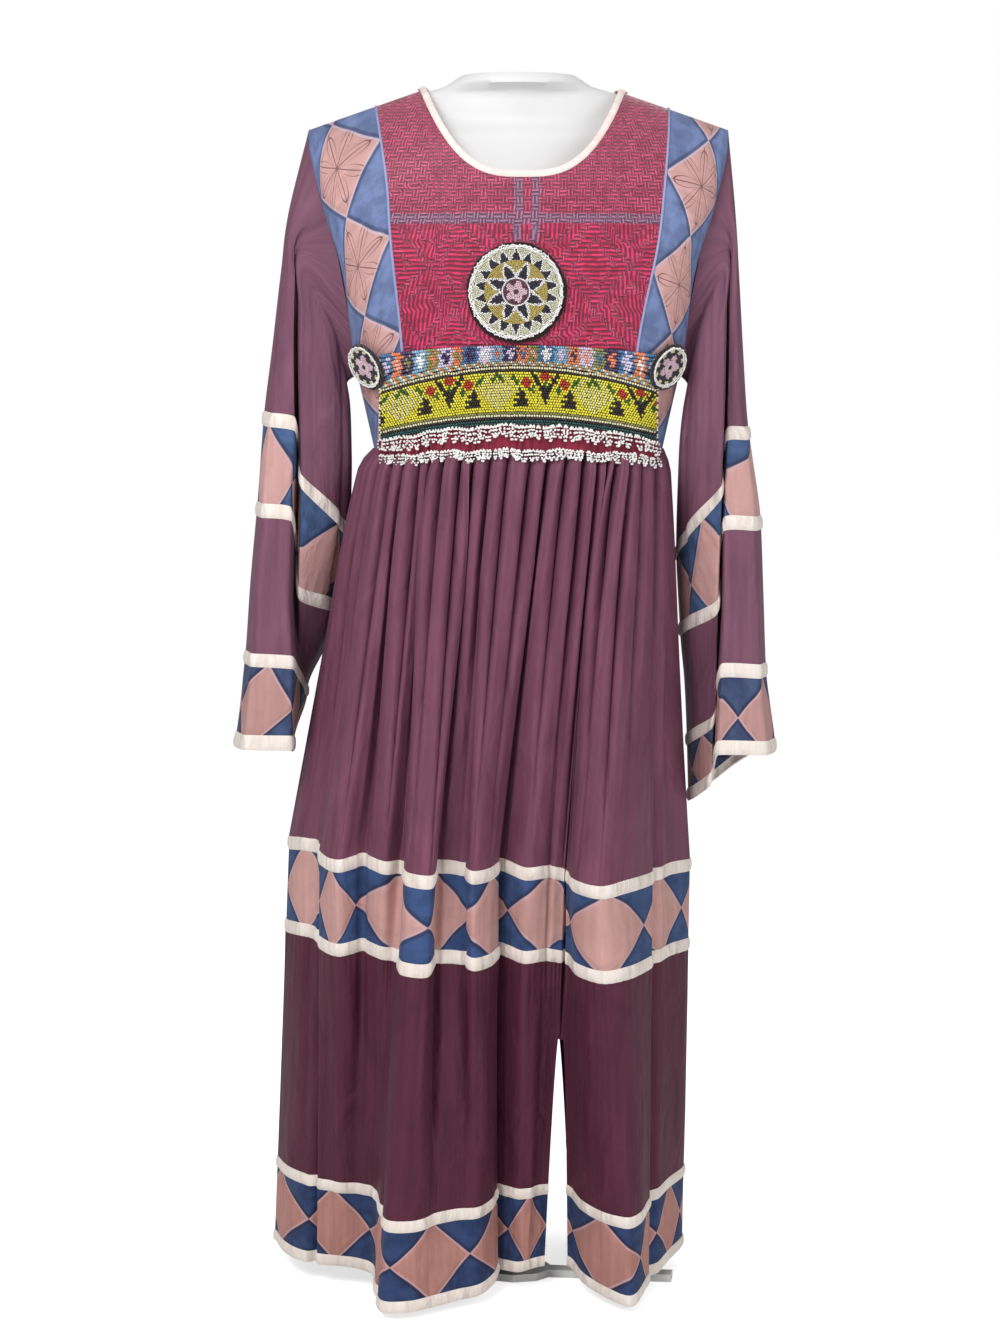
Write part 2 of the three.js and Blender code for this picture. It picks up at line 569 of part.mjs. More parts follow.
function beltLayer(name, top, bottom, out, wall, columns, rows, finish, swell = () => 0) {
  const outside = [];
  const inside = [];
  for (const down of evenly(rows)) {
    const outerRow = [];
    const innerRow = [];
    for (const across of evenly(columns, -BELT_HALF, BELT_HALF)) {
      const z = top.z + (bottom.z - top.z) * down;
      const drop = top.drop + (bottom.drop - top.drop) * down;
      const surface = (x, depth) => beltSurface(x, z - depth, drop);
      const point = surface(across, 0);
      const normal = outOf(surface, across, 0, 0.5);
      const stand = out + swell(across, down);
      outerRow.push(point.clone().addScaledVector(normal, stand));
      innerRow.push(point.clone().addScaledVector(normal, stand - wall));
    }
    outside.push(outerRow);
    inside.push(innerRow);
  }
  addPiece(name, clothWall(outside, inside, false), finish);
}

const lower = (level, by) => ({ z: level.z - by, drop: level.drop });
beltLayer("belt_strip", beltLevels.top, beltLevels.strip, BELT_LIE + 2, 2, 24, 1, finishes.strip);
const bandTop = lower(beltLevels.strip, 2 * SEAM);
beltLayer("belt_band", bandTop, beltLevels.band, BELT_LIE + 4, 4, 24, 2, finishes.beads);
for (const ruffle of ruffles) {
  const wave = (across, down) =>
    ruffle.swell * (0.35 + 0.65 * down) * Math.sin((Math.PI * ruffle.waves * across) / BELT_HALF);
  const top = { z: ruffle.top, drop: beltLevels.band.drop };
  const bottom = { z: ruffle.bottom, drop: ruffle.drop };
  const topDrop = ruffle.name === "belt_ruffle_lower" ? { z: ruffle.top, drop: 10 } : top;
  const finish = ruffle.name === "belt_frill" ? finishes.maroon : finishes.whiteBeads;
  beltLayer(ruffle.name, topDrop, bottom, ruffle.out, ruffle.wall, ruffle.waves * 4, 1, finish, wave);
}

// Medallions: a stiff disc with a rolled bead rim, its flat back touching the bodice at its middle
for (const medallion of medallions) {
  const r = medallion.radius;
  const rim = Math.min(MEDALLION_RIM.width, r * MEDALLION_RIM.share);
  const profile = [
    [0, 0],
    [r - 1, 0],
    [r, MEDALLION_EDGE],
    [r - rim * 0.4, MEDALLION_RIM.height],
    [r - rim, MEDALLION_FACE],
    [r * MEDALLION_BOSS.start, MEDALLION_FACE + 0.4],
    [r * MEDALLION_BOSS.top, MEDALLION_BOSS.height - 0.2],
    [0, MEDALLION_BOSS.height],
  ].map(([radius, height]) => new THREE.Vector2(radius, height));
  const disc = new THREE.LatheGeometry(profile, medallion.sides);
  const turn = turnAt(medallion.x, medallion.z);
  const surface = (across, down) => bodicePoint(-1, across, medallion.z - down);
  const normal = outOf(surface, turn, 0, 0.5);
  const seat = surface(turn, 0).addScaledVector(normal, medallion.off);
  const mesh = addPiece(medallion.name, disc, { color: medallion.colour, roughness: 0.45 });
  mesh.quaternion.setFromUnitVectors(new THREE.Vector3(0, 1, 0), normal);
  mesh.position.copy(seat);
}

// The skirt's guide curves: the waist, the middle trim's top edge and the hem
const foldCount = frontFolds.length + backFolds.length;

function backKnot(fold, oval, out) {
  const angle = fold.share * Math.PI;
  const x = oval.x + (oval.half + out) * Math.cos(angle);
  const y = oval.y + (oval.depth + out) * Math.sin(angle);
  return [x, y];
}

const middleKnots = [];
const hemKnots = [];
for (const fold of frontFolds) {
  const level = MIDDLE_Z - MIDDLE_TILT * fold.midX;
  middleKnots.push(new THREE.Vector3(fold.midX, fold.midY, level - fold.drop));
  hemKnots.push(new THREE.Vector3(fold.hemX, fold.hemY, HEM_Z + fold.rise));
}
for (const fold of backFolds) {
  const [midX, midY] = backKnot(fold, BACK_OVAL.middle, fold.midOut);
  const [hemX, hemY] = backKnot(fold, BACK_OVAL.hem, fold.hemOut);
  middleKnots.push(new THREE.Vector3(midX, midY, MIDDLE_Z - MIDDLE_TILT * midX));
  hemKnots.push(new THREE.Vector3(hemX, hemY, HEM_Z + fold.rise));
}
const middleCurve = new THREE.CatmullRomCurve3(middleKnots, true, "centripetal");
const hemCurve = new THREE.CatmullRomCurve3(hemKnots, true, "centripetal");

// Each fold's place round the waist, between an even spacing and the place straight above it
const frontSteps = frontFolds.length - 1;
const waistTurns = middleKnots.map((knot, fold) => {
  const oval = BACK_OVAL.middle;
  const ratio = Math.min(1, Math.max(-1, (knot.x - oval.x) / oval.half));
  const above = (Math.asin(ratio) * 180) / Math.PI;
  if (fold <= frontSteps) return (above + (-90 + (180 * fold) / frontSteps)) / 2;
  const behind = (fold - frontSteps) / (foldCount - frontSteps);
  return (180 - above + (90 + 180 * behind)) / 2;
});

function waistPoint(place) {
  const whole = ((place % foldCount) + foldCount) % foldCount;
  const fold = Math.floor(whole);
  const from = waistTurns[fold];
  const to = fold + 1 < foldCount ? waistTurns[fold + 1] : waistTurns[0] + 360;
  const turn = from + (to - from) * (whole - fold);
  const side = turn <= 90 ? -1 : 1;
  const facing = side < 0 ? turn : 180 - turn;
  const point = bodicePoint(side, facing, WAIST_Z);
  point.y -= (side * SEAM) / 2;
  return point;
}

const ventWidth = (vent, z) => {
  if (z >= vent.tip) return vent.shut;
  const open = Math.min(1, (vent.tip - z) / (vent.tip - HEM_Z));
  return vent.shut + (vent.width - vent.shut) * open ** VENT_OPENING;
};

// A point of the lower skirt: place counts folds round from the left side, down runs from 0 to 1 at the hem
function lowerSkirt(place, down) {
  const share = (((place / foldCount) % 1) + 1) % 1;
  const point = middleCurve.getPoint(share).lerp(hemCurve.getPoint(share), down);
  for (const vent of [FRONT_VENT, BACK_VENT]) {
    const offset = share * foldCount - vent.first;
    if (offset <= -1 || offset >= 2) continue;
    const rising = Math.min(1, Math.max(0, (vent.tip + 60 - point.z) / 60));
    const spine = vent.tipX + (vent.hemX - vent.tipX) * (1 - point.z / vent.tip);
    const edge = offset < 0.5 ? -0.5 : 0.5;
    const wanted = spine + vent.facing * edge * ventWidth(vent, point.z);
    const near = offset < 0 ? 1 + offset : offset > 1 ? 2 - offset : 1;
    const knot = vent.first + (offset < 0.5 ? 0 : 1);
    const knotX = middleCurve.getPoint(knot / foldCount).lerp(hemCurve.getPoint(knot / foldCount), down).x;
    point.x += (wanted - knotX) * near * rising;
  }
  return point;
}

// A point of the gathered upper tier: down runs from 0 at the waist to 1 at the middle trim
function upperSkirt(place, down) {
  const share = (((place / foldCount) % 1) + 1) % 1;
  const spread = down <= 0 ? 0 : down ** SKIRT_SPREAD;
  const waist = waistPoint(place);
  const middle = middleCurve.getPoint(share);
  const point = waist.clone().lerp(middle, spread);
  point.z = WAIST_Z - SEAM + (middle.z + SEAM - WAIST_Z + SEAM) * down;
  return point;
}

function gatheredTier() {
  const columns = evenly(foldCount * COLUMNS_PER_GATHER - 1, 0, foldCount - 1 / COLUMNS_PER_GATHER);
  const outside = [];
  const inside = [];
  for (const down of [0, 0.06, 0.3, 0.64, 1]) {
    const outerRow = [];
    const innerRow = [];
    const depth = along(gatherDepths, "down", down, "depth");
    for (const place of columns) {
      const halfPlace = Math.floor(place * COLUMNS_PER_FOLD) / COLUMNS_PER_FOLD;
      const point = upperSkirt(place, down);
      if (down === 1 && place !== halfPlace) {
        point.copy(upperSkirt(halfPlace, down)).lerp(upperSkirt(halfPlace + 1 / COLUMNS_PER_FOLD, down), 0.5);
      }
      const below = upperSkirt(place, down + 0.01).sub(upperSkirt(place, Math.max(0, down) - 0.01));
      const right = upperSkirt(place + 0.3, down).sub(upperSkirt(place - 0.3, down));
      const normal = below.cross(right).normalize();
      const swell = depth * -Math.cos(place * 2 * Math.PI);
      outerRow.push(point.clone().addScaledVector(normal, swell));
      innerRow.push(point.clone().addScaledVector(normal, swell - CLOTH));
    }
    outside.push(outerRow);
    inside.push(innerRow);
  }
  addPiece("skirt_upper", clothWall(outside, inside, true), finishes.plum);
}
gatheredTier();

// A ring of the lower skirt, or the part of it between two vents
function skirtRing(name, from, to, rows, finish, wall, range = null, isOpen = undefined) {
  const step = 1 / COLUMNS_PER_FOLD;
  const first = range ? range[0] : 0;
  const last = range ? range[1] : foldCount - step;
  const columns = evenly(Math.round((last - first) / step), first, last);
  const gap = SEAM / 2 / (MIDDLE_Z - HEM_Z);
  const start = from + gap;
  const end = to === skirtLevels.hem ? to : to - gap;
  const out = (wall - CLOTH) / 2;
  const heights = typeof rows === "number" ? evenly(rows) : rows;
  const downs = heights.map((share) => start + (end - start) * share);
  const [outside, inside] = layerGrids(lowerSkirt, columns, downs, out, wall, 0.04);
  addPiece(name, clothWall(outside, inside, range === null, isOpen), finish);
}

const L = skirtLevels;
skirtRing("middle_trim_upper", L.trimTop, L.bandTop, 1, finishes.trim, TRIM);
skirtRing("middle_band", L.bandTop, L.bandBottom, 1, finishes.patch, CLOTH);
skirtRing("middle_trim_lower", L.bandBottom, L.tierTop, 1, finishes.trim, TRIM);

// The lower tier is whole down to the vents' tips and open below them
const tierHeight = (z) => ((MIDDLE_Z - z) / (MIDDLE_Z - HEM_Z) - L.tierTop) / (L.hemTrimTop - L.tierTop);
const tierRows = [0, tierHeight(FRONT_VENT.tip), tierHeight(FRONT_VENT.tip - 45), tierHeight(170), 1];
skirtRing("skirt_lower", L.tierTop, L.hemTrimTop, tierRows, finishes.plum, CLOTH, null, (row, column) => {
  const fold = column / COLUMNS_PER_FOLD;
  const inVent = (vent) => fold >= vent.first && fold < vent.first + 1;
  return row > 0 && (inVent(FRONT_VENT) || inVent(BACK_VENT));
});
const leftHem = [BACK_VENT.first + 1 - foldCount, FRONT_VENT.first];
const rightHem = [FRONT_VENT.first + 1, BACK_VENT.first];
for (const [side, range] of [["left", leftHem], ["right", rightHem]]) {
  skirtRing(`hem_trim_upper_${side}`, L.hemTrimTop, L.hemBandTop, 1, finishes.trim, TRIM, range);
  skirtRing(`hem_band_${side}`, L.hemBandTop, L.hemBandBottom, 1, finishes.patch, CLOTH, range);
  skirtRing(`hem_trim_lower_${side}`, L.hemBandBottom, L.hem, 1, finishes.trim, TRIM, range);
}

// Sleeves: the ten guide points of a ring run from the outer edge across the front to the inner edge and back
function sleeveControls(side, ring) {
  const strip = ring.outer - ring.fold;
  const lobe = ring.fold - ring.inner;
  const width = ring.outer - ring.inner;
  const middle = (ring.front + ring.back) / 2;
  const z = ring.z;
  const turnDrop = ring.lobeDrop * 0.35 + ring.innerDrop * 0.65;
  return [
    [ring.outer, middle * 0.4, z],
    [ring.outer - strip * 0.22, ring.front * 0.8, z - ring.stripDrop * 0.3],
    [ring.fold + CLEFT.strip, ring.front, z - ring.stripDrop],
    [ring.fold, ring.valley, z - (ring.stripDrop + ring.lobeDrop) / 2],
    [Math.max(ring.fold - CLEFT.lobe, ring.inner), ring.lobe, z - ring.lobeDrop],
    [ring.inner + lobe * 0.14, ring.lobe * 0.55 + ring.inside * 0.45, z - turnDrop],
    [ring.inner, ring.inside, z - ring.innerDrop],
    [ring.inner + width * 0.28, ring.back * 0.97, z - ring.innerDrop * 0.75],
    [ring.inner + width * 0.6, ring.back, z - ring.innerDrop * 0.4],
    [ring.inner + width * 0.88, ring.back * 0.72 + middle * 0.28, z - ring.innerDrop * 0.1],
  ].map(([x, y, height]) => new THREE.Vector3(side * x, y, height));
}

// The armhole's own ten guide points, just outside the bodice
function armholeControls(side) {
  const middle = (UNDERARM_Z + SHOULDER_TIP_Z) / 2;
  const reach = (SHOULDER_TIP_Z - UNDERARM_Z) / 2;
  const turns = [0, 34, 68, 92, 118, 150, 180, 220, 270, 318];
  return turns.map((turn) => {
    const angle = (turn * Math.PI) / 180;
    const z = middle + reach * Math.cos(angle);
    const x = along(bodiceSections, "z", z, "half") + ARMHOLE_SEAM;
    return new THREE.Vector3(side * x, -ARMHOLE_DEPTH * Math.sin(angle), z);
  });
}

function buildSleeve(label, sleeve) {
  const rings = [armholeControls(sleeve.side)];
  for (const ring of sleeve.rings) rings.push(sleeveControls(sleeve.side, ring));
  const curves = rings.map(
    (controls) => new THREE.CatmullRomCurve3(controls, true, "catmullrom", SLEEVE_ROUNDNESS),
  );
  const surface = (place, down) => {
    const share = (((place / SLEEVE_CONTROLS) % 1) + 1) % 1;
    const ring = Math.min(curves.length - 2, Math.max(0, Math.floor(down)));
    const from = curves[ring].getPoint(share);
    return from.lerp(curves[ring + 1].getPoint(share), down - ring);
  };
  const lastColumn = SLEEVE_CONTROLS - 1 / COLUMNS_PER_CONTROL;
  const columns = evenly(SLEEVE_CONTROLS * COLUMNS_PER_CONTROL - 1, 0, lastColumn);
  // How far down a ring's place moves to leave half a seam's gap, measured square to the slanting seam
  const seamShift = (place, ring, direction) => {
    if (ring === 0 || ring === curves.length - 1) return 0;
    const near = surface(place, ring);
    const seamLine = surface(place + 0.25, ring).sub(surface(place - 0.25, ring)).normalize();
    const away = surface(place, ring + direction * 0.1).sub(near).multiplyScalar(10);
    away.addScaledVector(seamLine, -away.dot(seamLine));
    const gap = place > CLEFT.from && place < CLEFT.to ? CLEFT.seam : SLEEVE_SEAM;
    return (direction * gap) / 2 / away.length();
  };
  for (const part of sleevePieces) {
    const wall = part.kind === "trim" ? TRIM : CLOTH;
    const out = (wall - CLOTH) / 2;
    const outside = [];
    const inside = [];
    for (const share of evenly(part.rows)) {
      const outerRow = [];
      const innerRow = [];
      for (const place of columns) {
        const start = part.from + seamShift(place, part.from, 1);
        const end = part.to + seamShift(place, part.to, -1);
        const down = start + (end - start) * share;
        const point = surface(place, down);
        const before = Math.max(0, down - 0.05);
        const below = surface(place, down + 0.05).sub(surface(place, before));
        const right = surface(place + 0.2, down).sub(surface(place - 0.2, down));
        const normal = below.cross(right).multiplyScalar(-sleeve.side);
        if (down === 0) normal.x = 0;
        normal.normalize();
        outerRow.push(point.clone().addScaledVector(normal, out));
        innerRow.push(point.clone().addScaledVector(normal, out - wall));
      }
      outside.push(outerRow);
      inside.push(innerRow);
    }
    addPiece(`sleeve_${label}_${part.piece}`, clothWall(outside, inside, true), finishes[part.kind]);
  }
}
buildSleeve("left", sleeves.left);
buildSleeve("right", sleeves.right);

// The dress form, a smooth whole body of oval sections. Its shoulders carry the dress from inside.
function dressForm() {
  const sections = [...formSections];
  for (const x of [190, 165, 135, 106]) {
    sections.push({ z: shoulderZ(x) - SHOULDER_REST, half: x, depth: 40, power: 1.3 });
  }
  sections.push(...formNeck);
  const around = 28;
  const positions = [];
  for (const section of sections) {
    for (let step = 0; step < around; step += 1) {
      const angle = (step / around) * 2 * Math.PI;
      const x = section.half * signedPower(Math.cos(angle), 2 / section.power);
      const y = section.depth * signedPower(Math.sin(angle), 2 / section.power);
      positions.push(x, y, section.z);
    }
  }
  const lastRing = sections.length - 1;
  positions.push(0, 0, sections[0].z, 0, 0, sections[lastRing].z);
  const bottom = sections.length * around;
  const faces = [];
  for (let row = 0; row < lastRing; row += 1) {
    for (let step = 0; step < around; step += 1) {
      const next = (step + 1) % around;
      const a = row * around + step;
      const b = row * around + next;
      faces.push(a, b, b + around, a, b + around, a + around);
    }
  }
  for (let step = 0; step < around; step += 1) {
    const next = (step + 1) % around;
    faces.push(bottom, next, step);
    faces.push(bottom + 1, lastRing * around + step, lastRing * around + next);
  }
  addPiece("dress_form", solidFrom(positions, faces), finishes.form);
}
dressForm();

// The pole, from the foot up to the form's lower end
const poleBottom = FOOT.height + SEAM;
const poleTop = formSections[0].z - SEAM;
const pole = new THREE.CylinderGeometry(POLE_RADIUS, POLE_RADIUS, poleTop - poleBottom, 16);
const poleMesh = addPiece("stand_pole", pole, finishes.metal);
poleMesh.rotation.x = Math.PI / 2;
poleMesh.position.z = (poleTop + poleBottom) / 2;

// The foot, a flat hub with three arms
function footOutline() {
  const outline = new THREE.Shape();
  FOOT.turns.forEach((turn, arm) => {
    const angle = (turn * Math.PI) / 180;
    const armLine = new THREE.Vector2(Math.cos(angle), Math.sin(angle));
    const across = new THREE.Vector2(-armLine.y, armLine.x).multiplyScalar(FOOT.arm / 2);
    const root = armLine.clone().multiplyScalar(FOOT.hub);
    const end = armLine.clone().multiplyScalar(FOOT.reach);
    const corners = [
      root.clone().sub(across),
      end.clone().sub(across),
      end.clone().add(across),
      root.clone().add(across),
    ];
    corners.forEach((corner, place) => {
      if (arm === 0 && place === 0) outline.moveTo(corner.x, corner.y);
      else outline.lineTo(corner.x, corner.y);
    });
    const nextTurn = FOOT.turns[(arm + 1) % FOOT.turns.length] + (arm === FOOT.turns.length - 1 ? 360 : 0);
    for (const share of [0.33, 0.67]) {
      const between = ((turn + (nextTurn - turn) * share) * Math.PI) / 180;
      outline.lineTo(FOOT.hub * Math.cos(between), FOOT.hub * Math.sin(between));
    }
  });
  outline.closePath();
  return outline;
}
const foot = new THREE.ExtrudeGeometry(footOutline(), { depth: FOOT.height, bevelEnabled: false });
addPiece("stand_foot", foot, finishes.metal);

export default dress;
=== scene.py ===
"""A kuchi dress on a plain white dress form, in metres, +Z up. The dress faces -Y."""

import math

import bpy
import numpy as np
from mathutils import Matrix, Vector


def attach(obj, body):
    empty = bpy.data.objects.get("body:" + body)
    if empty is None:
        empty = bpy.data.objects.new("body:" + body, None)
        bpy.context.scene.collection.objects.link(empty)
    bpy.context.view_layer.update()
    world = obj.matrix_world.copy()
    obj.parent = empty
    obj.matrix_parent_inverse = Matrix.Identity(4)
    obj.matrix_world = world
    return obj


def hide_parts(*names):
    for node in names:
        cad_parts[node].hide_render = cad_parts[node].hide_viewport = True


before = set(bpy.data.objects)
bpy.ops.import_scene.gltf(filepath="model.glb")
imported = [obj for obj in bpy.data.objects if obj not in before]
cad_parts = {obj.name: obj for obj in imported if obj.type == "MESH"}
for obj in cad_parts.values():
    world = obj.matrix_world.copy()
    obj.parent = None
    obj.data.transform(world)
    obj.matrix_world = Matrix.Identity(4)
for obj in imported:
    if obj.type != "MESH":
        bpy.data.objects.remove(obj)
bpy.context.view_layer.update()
MM = 0.001
rng = np.random.default_rng(7)

# Sizes, in millimetres
TRIM_BULGE = 1.5
WAIST_Z = 880
UNDERARM_Z = 957
SHOULDER_TIP_Z = 1208
NECK_POINT_Z = 1247
NECK_POINT_X = 102
SHOULDER_SLOPE = (NECK_POINT_Z - SHOULDER_TIP_Z) / 114
SHOULDER_ROUNDING = 95
ARMHOLE_DEPTH = 52
OVAL_POWER = 2.3
NECK = {"x": 4.5, "half": 106, "front": 1152, "back": 1222, "top": 1249, "power": 3}
BELT_HALF = 138.5
MIDDLE_Z = 454
MIDDLE_TILT = 0.055
HEM_Z = 8
SKIRT_SPREAD = 0.88
COLUMNS_PER_FOLD = 14
CLOTH_WALL = 1.3
PANEL_WALL = 1.4
TAPE_WALL = 2.0
TAPE_ROWS = 5
BAND_ROWS = 12
BAND_LAP = 0.012
TIER_LAP = 0.008
PATCH_PERIOD = 80
PATCH_SQUARENESS = 0.8
STRIP_PERIOD = 0.0985
STRIP_WIDEN = 1.18
PIPING_WIDTH = 2.6
PIPING_TOPS = {"left": -146, "right": 153}
FRONT_GATHERS = 40
SMOOTH_ANGLE = math.radians(55)

# Finishes, in metres where they are lengths
CLOTH_SHINE = 0.22
STITCH = 0.0046
BLOCK = 0.0074
YOKE_CELL = 0.094
YOKE_LINE = 1.105
YOKE_MIDDLE = 0.0035
YOKE_DIAMOND = (0.072, 1.062)
YOKE_BARS = (-0.0055, 0.0125)
YOKE_BARS_FROM = 1.088
PALE_SEAM = (206, 172, 178)
WORLD_LIGHT = 0.33
FLOOR_GLOW = 0.7


def table(columns, rows):
    """Named columns of numbers, one array each."""
    return {name: np.array([row[place] for row in rows], float) for place, name in enumerate(columns)}


def each(rows):
    """A table's rows, one after another, with the columns' names."""
    for values in zip(*rows.values()):
        yield dict(zip(rows, values))


BODICE = table(("z", "half", "front", "back"), [
    (880, 150, 104, 88), (925, 160, 107, 90), (957, 167, 110, 92), (1064, 181, 112, 97),
    (1131, 201, 106, 96), (1208, 216, 92, 86), (1262, 216, 84, 80),
])
YOKE_EDGES = table(("z", "left", "right"), [
    (880, -112, 114), (984, -118, 120), (1093, -129, 141), (1150, -133, 147), (1240, -148, 156),
])
LEVELS = {
    "trim_top": 0, "band_top": 0.0314, "band_bottom": 0.2018, "tier_top": 0.2332,
    "hem_trim_top": 0.789, "hem_band_top": 0.816, "hem_band_bottom": 0.973, "hem": 1,
}

# The skirt's folds across the front, from the left side to the right side
FRONT_FOLDS = table(("mid_x", "mid_y", "drop", "hem_x", "hem_y", "rise"), [
    (-243, 32, 0, -262, 52, 12), (-228, -5, -5, -250, 8, 13), (-210, -24, -6, -232, -22, 13),
    (-205, -62, 0, -208, -38, 13), (-184, -98, 2, -186, -44, 13), (-160, -84, -3, -168, -50, 12),
    (-136, -106, 0, -153, -62, 10), (-121, -92, 0, -148, -112, 4), (-111, -138, 5, -138, -160, 0),
    (-88, -142, 6, -112, -160, 0), (-80, -104, -4, -88, -143, 0), (-62, -104, -4, -64, -125, 1),
    (-47, -130, 1, -40, -108, 2), (-30, -112, 0, -26, -84, 6), (-15, -82, -5, -17, -56, 12),
    (8, -108, -2, 0, -62, 12), (30, -94, -3, 15, -52, 13), (46, -88, 0, 28, -46, 14),
    (50, -90, 2, 53, -46, 14), (58, -128, 5, 68, -80, 6), (82, -146, 7, 92, -120, 2),
    (108, -124, 3, 114, -142, 0), (138, -66, 2, 135, -84, 5), (158, -24, -2, 157, -28, 12),
    (184, 32, 0, 178, 48, 12),
])
# Folds behind, as a share of the way round from the right side to the left
BACK_FOLDS = table(("share", "mid_out", "hem_out", "rise"), [
    (0.07, -6, -9, 12), (0.15, 10, 16, 5), (0.23, -9, -15, 10), (0.31, 8, 10, 6), (0.385, -8, -12, 12),
    (0.4, -8, -12, 12), (0.46, 13, 19, 4), (0.53, -9, -16, 11), (0.6, 11, 20, 4), (0.67, -11, -14, 9),
    (0.74, 14, 22, 4), (0.81, -8, -17, 11), (0.87, 9, 15, 5), (0.92, -7, -10, 10), (0.96, 4, 5, 11),
])
BACK_OVAL = {"mid": (-29, 212, 32, 120), "hem": (-42, 219, 50, 108)}
VENTS = [
    {"first": 17, "facing": 1, "tip": 276, "tip_x": 44, "hem_x": 39.5, "width": 25, "shut": 3},
    {"first": 29, "facing": -1, "tip": 246, "tip_x": 42, "hem_x": 42, "width": 34, "shut": 3},
]
VENT_OPENING = 0.62

SLEEVE_COLUMNS = ("z", "outer", "fold", "inner", "front", "valley", "lobe", "inside", "back",
                  "strip_drop", "lobe_drop", "inner_drop")
SLEEVES = {
    "left": (-1, table(SLEEVE_COLUMNS, [
        (1127, 237, 224, 178, -45, -42, -45, -4, 46, 28, 60, 180),
        (1064, 246, 227, 175, -42, -30, -44, -2, 50, 12, 48, 138),
        (985, 256, 229, 174, -38, -8, -36, 8, 58, 6, 52, 112),
        (919, 265, 229, 178, -36, 8, -28, 40, 72, 6, 66, 128),
        (904, 266.5, 229, 179, -36, 9, -27, 42, 74, 6, 66, 128),
        (825, 273, 233, 192, -37, 16, -18, 62, 88, 5, 88, 108),
        (810, 274.5, 233, 194, -37, 17, -14, 64, 90, 5, 88, 108),
        (740, 281.5, 235, 207, -37, 20, 14, 74, 98, 4, 58, 74),
        (669, 287, 233, 226, -38, 12, 34, 76, 102, 3, 30, 44),
        (655, 288.5, 233, 227, -38, 11, 34, 76, 102, 3, 29, 42),
        (583, 297, 235, 240, -40, -8, 20, 64, 98, 0, 6, 12),
        (567, 300, 235, 242, -41, -10, 18, 62, 97, 0, 6, 12),
    ])),
    "right": (1, table(SLEEVE_COLUMNS, [
        (1127, 224, 213, 176, -48, -44, -50, -8, 46, 24, 60, 182),
        (1055, 229, 214, 170, -46, -38, -58, -22, 48, 10, 44, 136),
        (978, 234, 214, 166, -42, -22, -58, -20, 52, 4, 46, 112),
        (903, 240, 213, 168, -38, 0, -44, 46, 66, 1, 62, 128),
        (889, 242, 213, 168.5, -38, 2, -43, 48, 68, 1, 62, 128),
        (810, 254, 211, 173, -36, 12, -36, 58, 84, 0, 86, 116),
        (795, 255, 211, 174, -36, 12, -34, 60, 86, 0, 86, 116),
        (728, 258, 211, 179, -36, 6, -18, 66, 92, 2, 76, 98),
        (656, 261, 209, 182, -38, 2, -14, 70, 96, -2, 54, 82),
        (641, 262, 208.5, 182.5, -38, 1, -14.5, 71, 97, -2, 53, 81),
        (576, 271, 206, 184, -42, -4, -22, 72, 98, -2, 34, 62),
        (561, 272, 205.5, 184.5, -43, -5, -23, 72, 98, -2, 33, 61),
    ])),
}
CLEFT = {"strip": 2, "lobe": 5}
SLEEVE_CONTROLS = 10
SLEEVE_ROUNDNESS = 0.25

FORM = table(("z", "half", "depth", "power"), [
    (668, 112, 62, 2), (676, 122, 70, 2), (740, 128, 74, 2), (840, 118, 72, 2), (900, 116, 74, 2),
    (990, 134, 84, 2), (1080, 150, 84, 2), (1140, 168, 74, 2), (1180, 188, 60, 1.9), (1200, 196, 54, 1.7),
    (1215, 190, 40, 1.3), (1223.5, 165, 40, 1.3), (1233.8, 135, 40, 1.3), (1243.7, 106, 40, 1.3),
    (1250, 80, 51, 1.7), (1258, 66, 50, 2), (1262, 60, 45, 2),
])


# Shapes shared by the pieces

def shared_slope(before, after):
    return np.where(before * after > 0, (before + after) / 2, 0)


def eased(first, last, start, end, span, t):
    """A smooth value between two, which leaves and arrives at the given slopes."""
    curve = start * span * (t - 2 * t**2 + t**3) + end * span * (t**3 - t**2)
    return first + (last - first) * (3 * t**2 - 2 * t**3) + curve


def along(rows, key, place, column):
    """A smooth value between a table's rows, at a place along its key column."""
    keys, values = rows[key], rows[column]
    place = np.clip(place, keys[0], keys[-1])
    row = np.clip(np.searchsorted(keys, place, side="left") - 1, 0, len(keys) - 2)
    slopes = np.diff(values) / np.diff(keys)
    here = slopes[row]
    before = np.where(row > 0, slopes[np.maximum(row - 1, 0)], here)
    after = np.where(row + 1 < len(slopes), slopes[np.minimum(row + 1, len(slopes) - 1)], here)
    span = keys[row + 1] - keys[row]
    t = (place - keys[row]) / span
    return eased(values[row], values[row + 1], shared_slope(before, here), shared_slope(after, here), span, t)


def through(keys, points, place):
    """A smooth curve through points at keys, read at one place; points may be whole rings."""
    row = int(np.clip(np.searchsorted(keys, place, side="left") - 1, 0, len(keys) - 2))
    slopes = [(points[i + 1] - points[i]) / (keys[i + 1] - keys[i]) for i in range(len(keys) - 1)]
    here = slopes[row]
    before = slopes[row - 1] if row > 0 else here
    after = slopes[row + 1] if row + 1 < len(slopes) else here
    span = keys[row + 1] - keys[row]
    t = (place - keys[row]) / span
    return eased(points[row], points[row + 1], shared_slope(before, here), shared_slope(after, here), span, t)


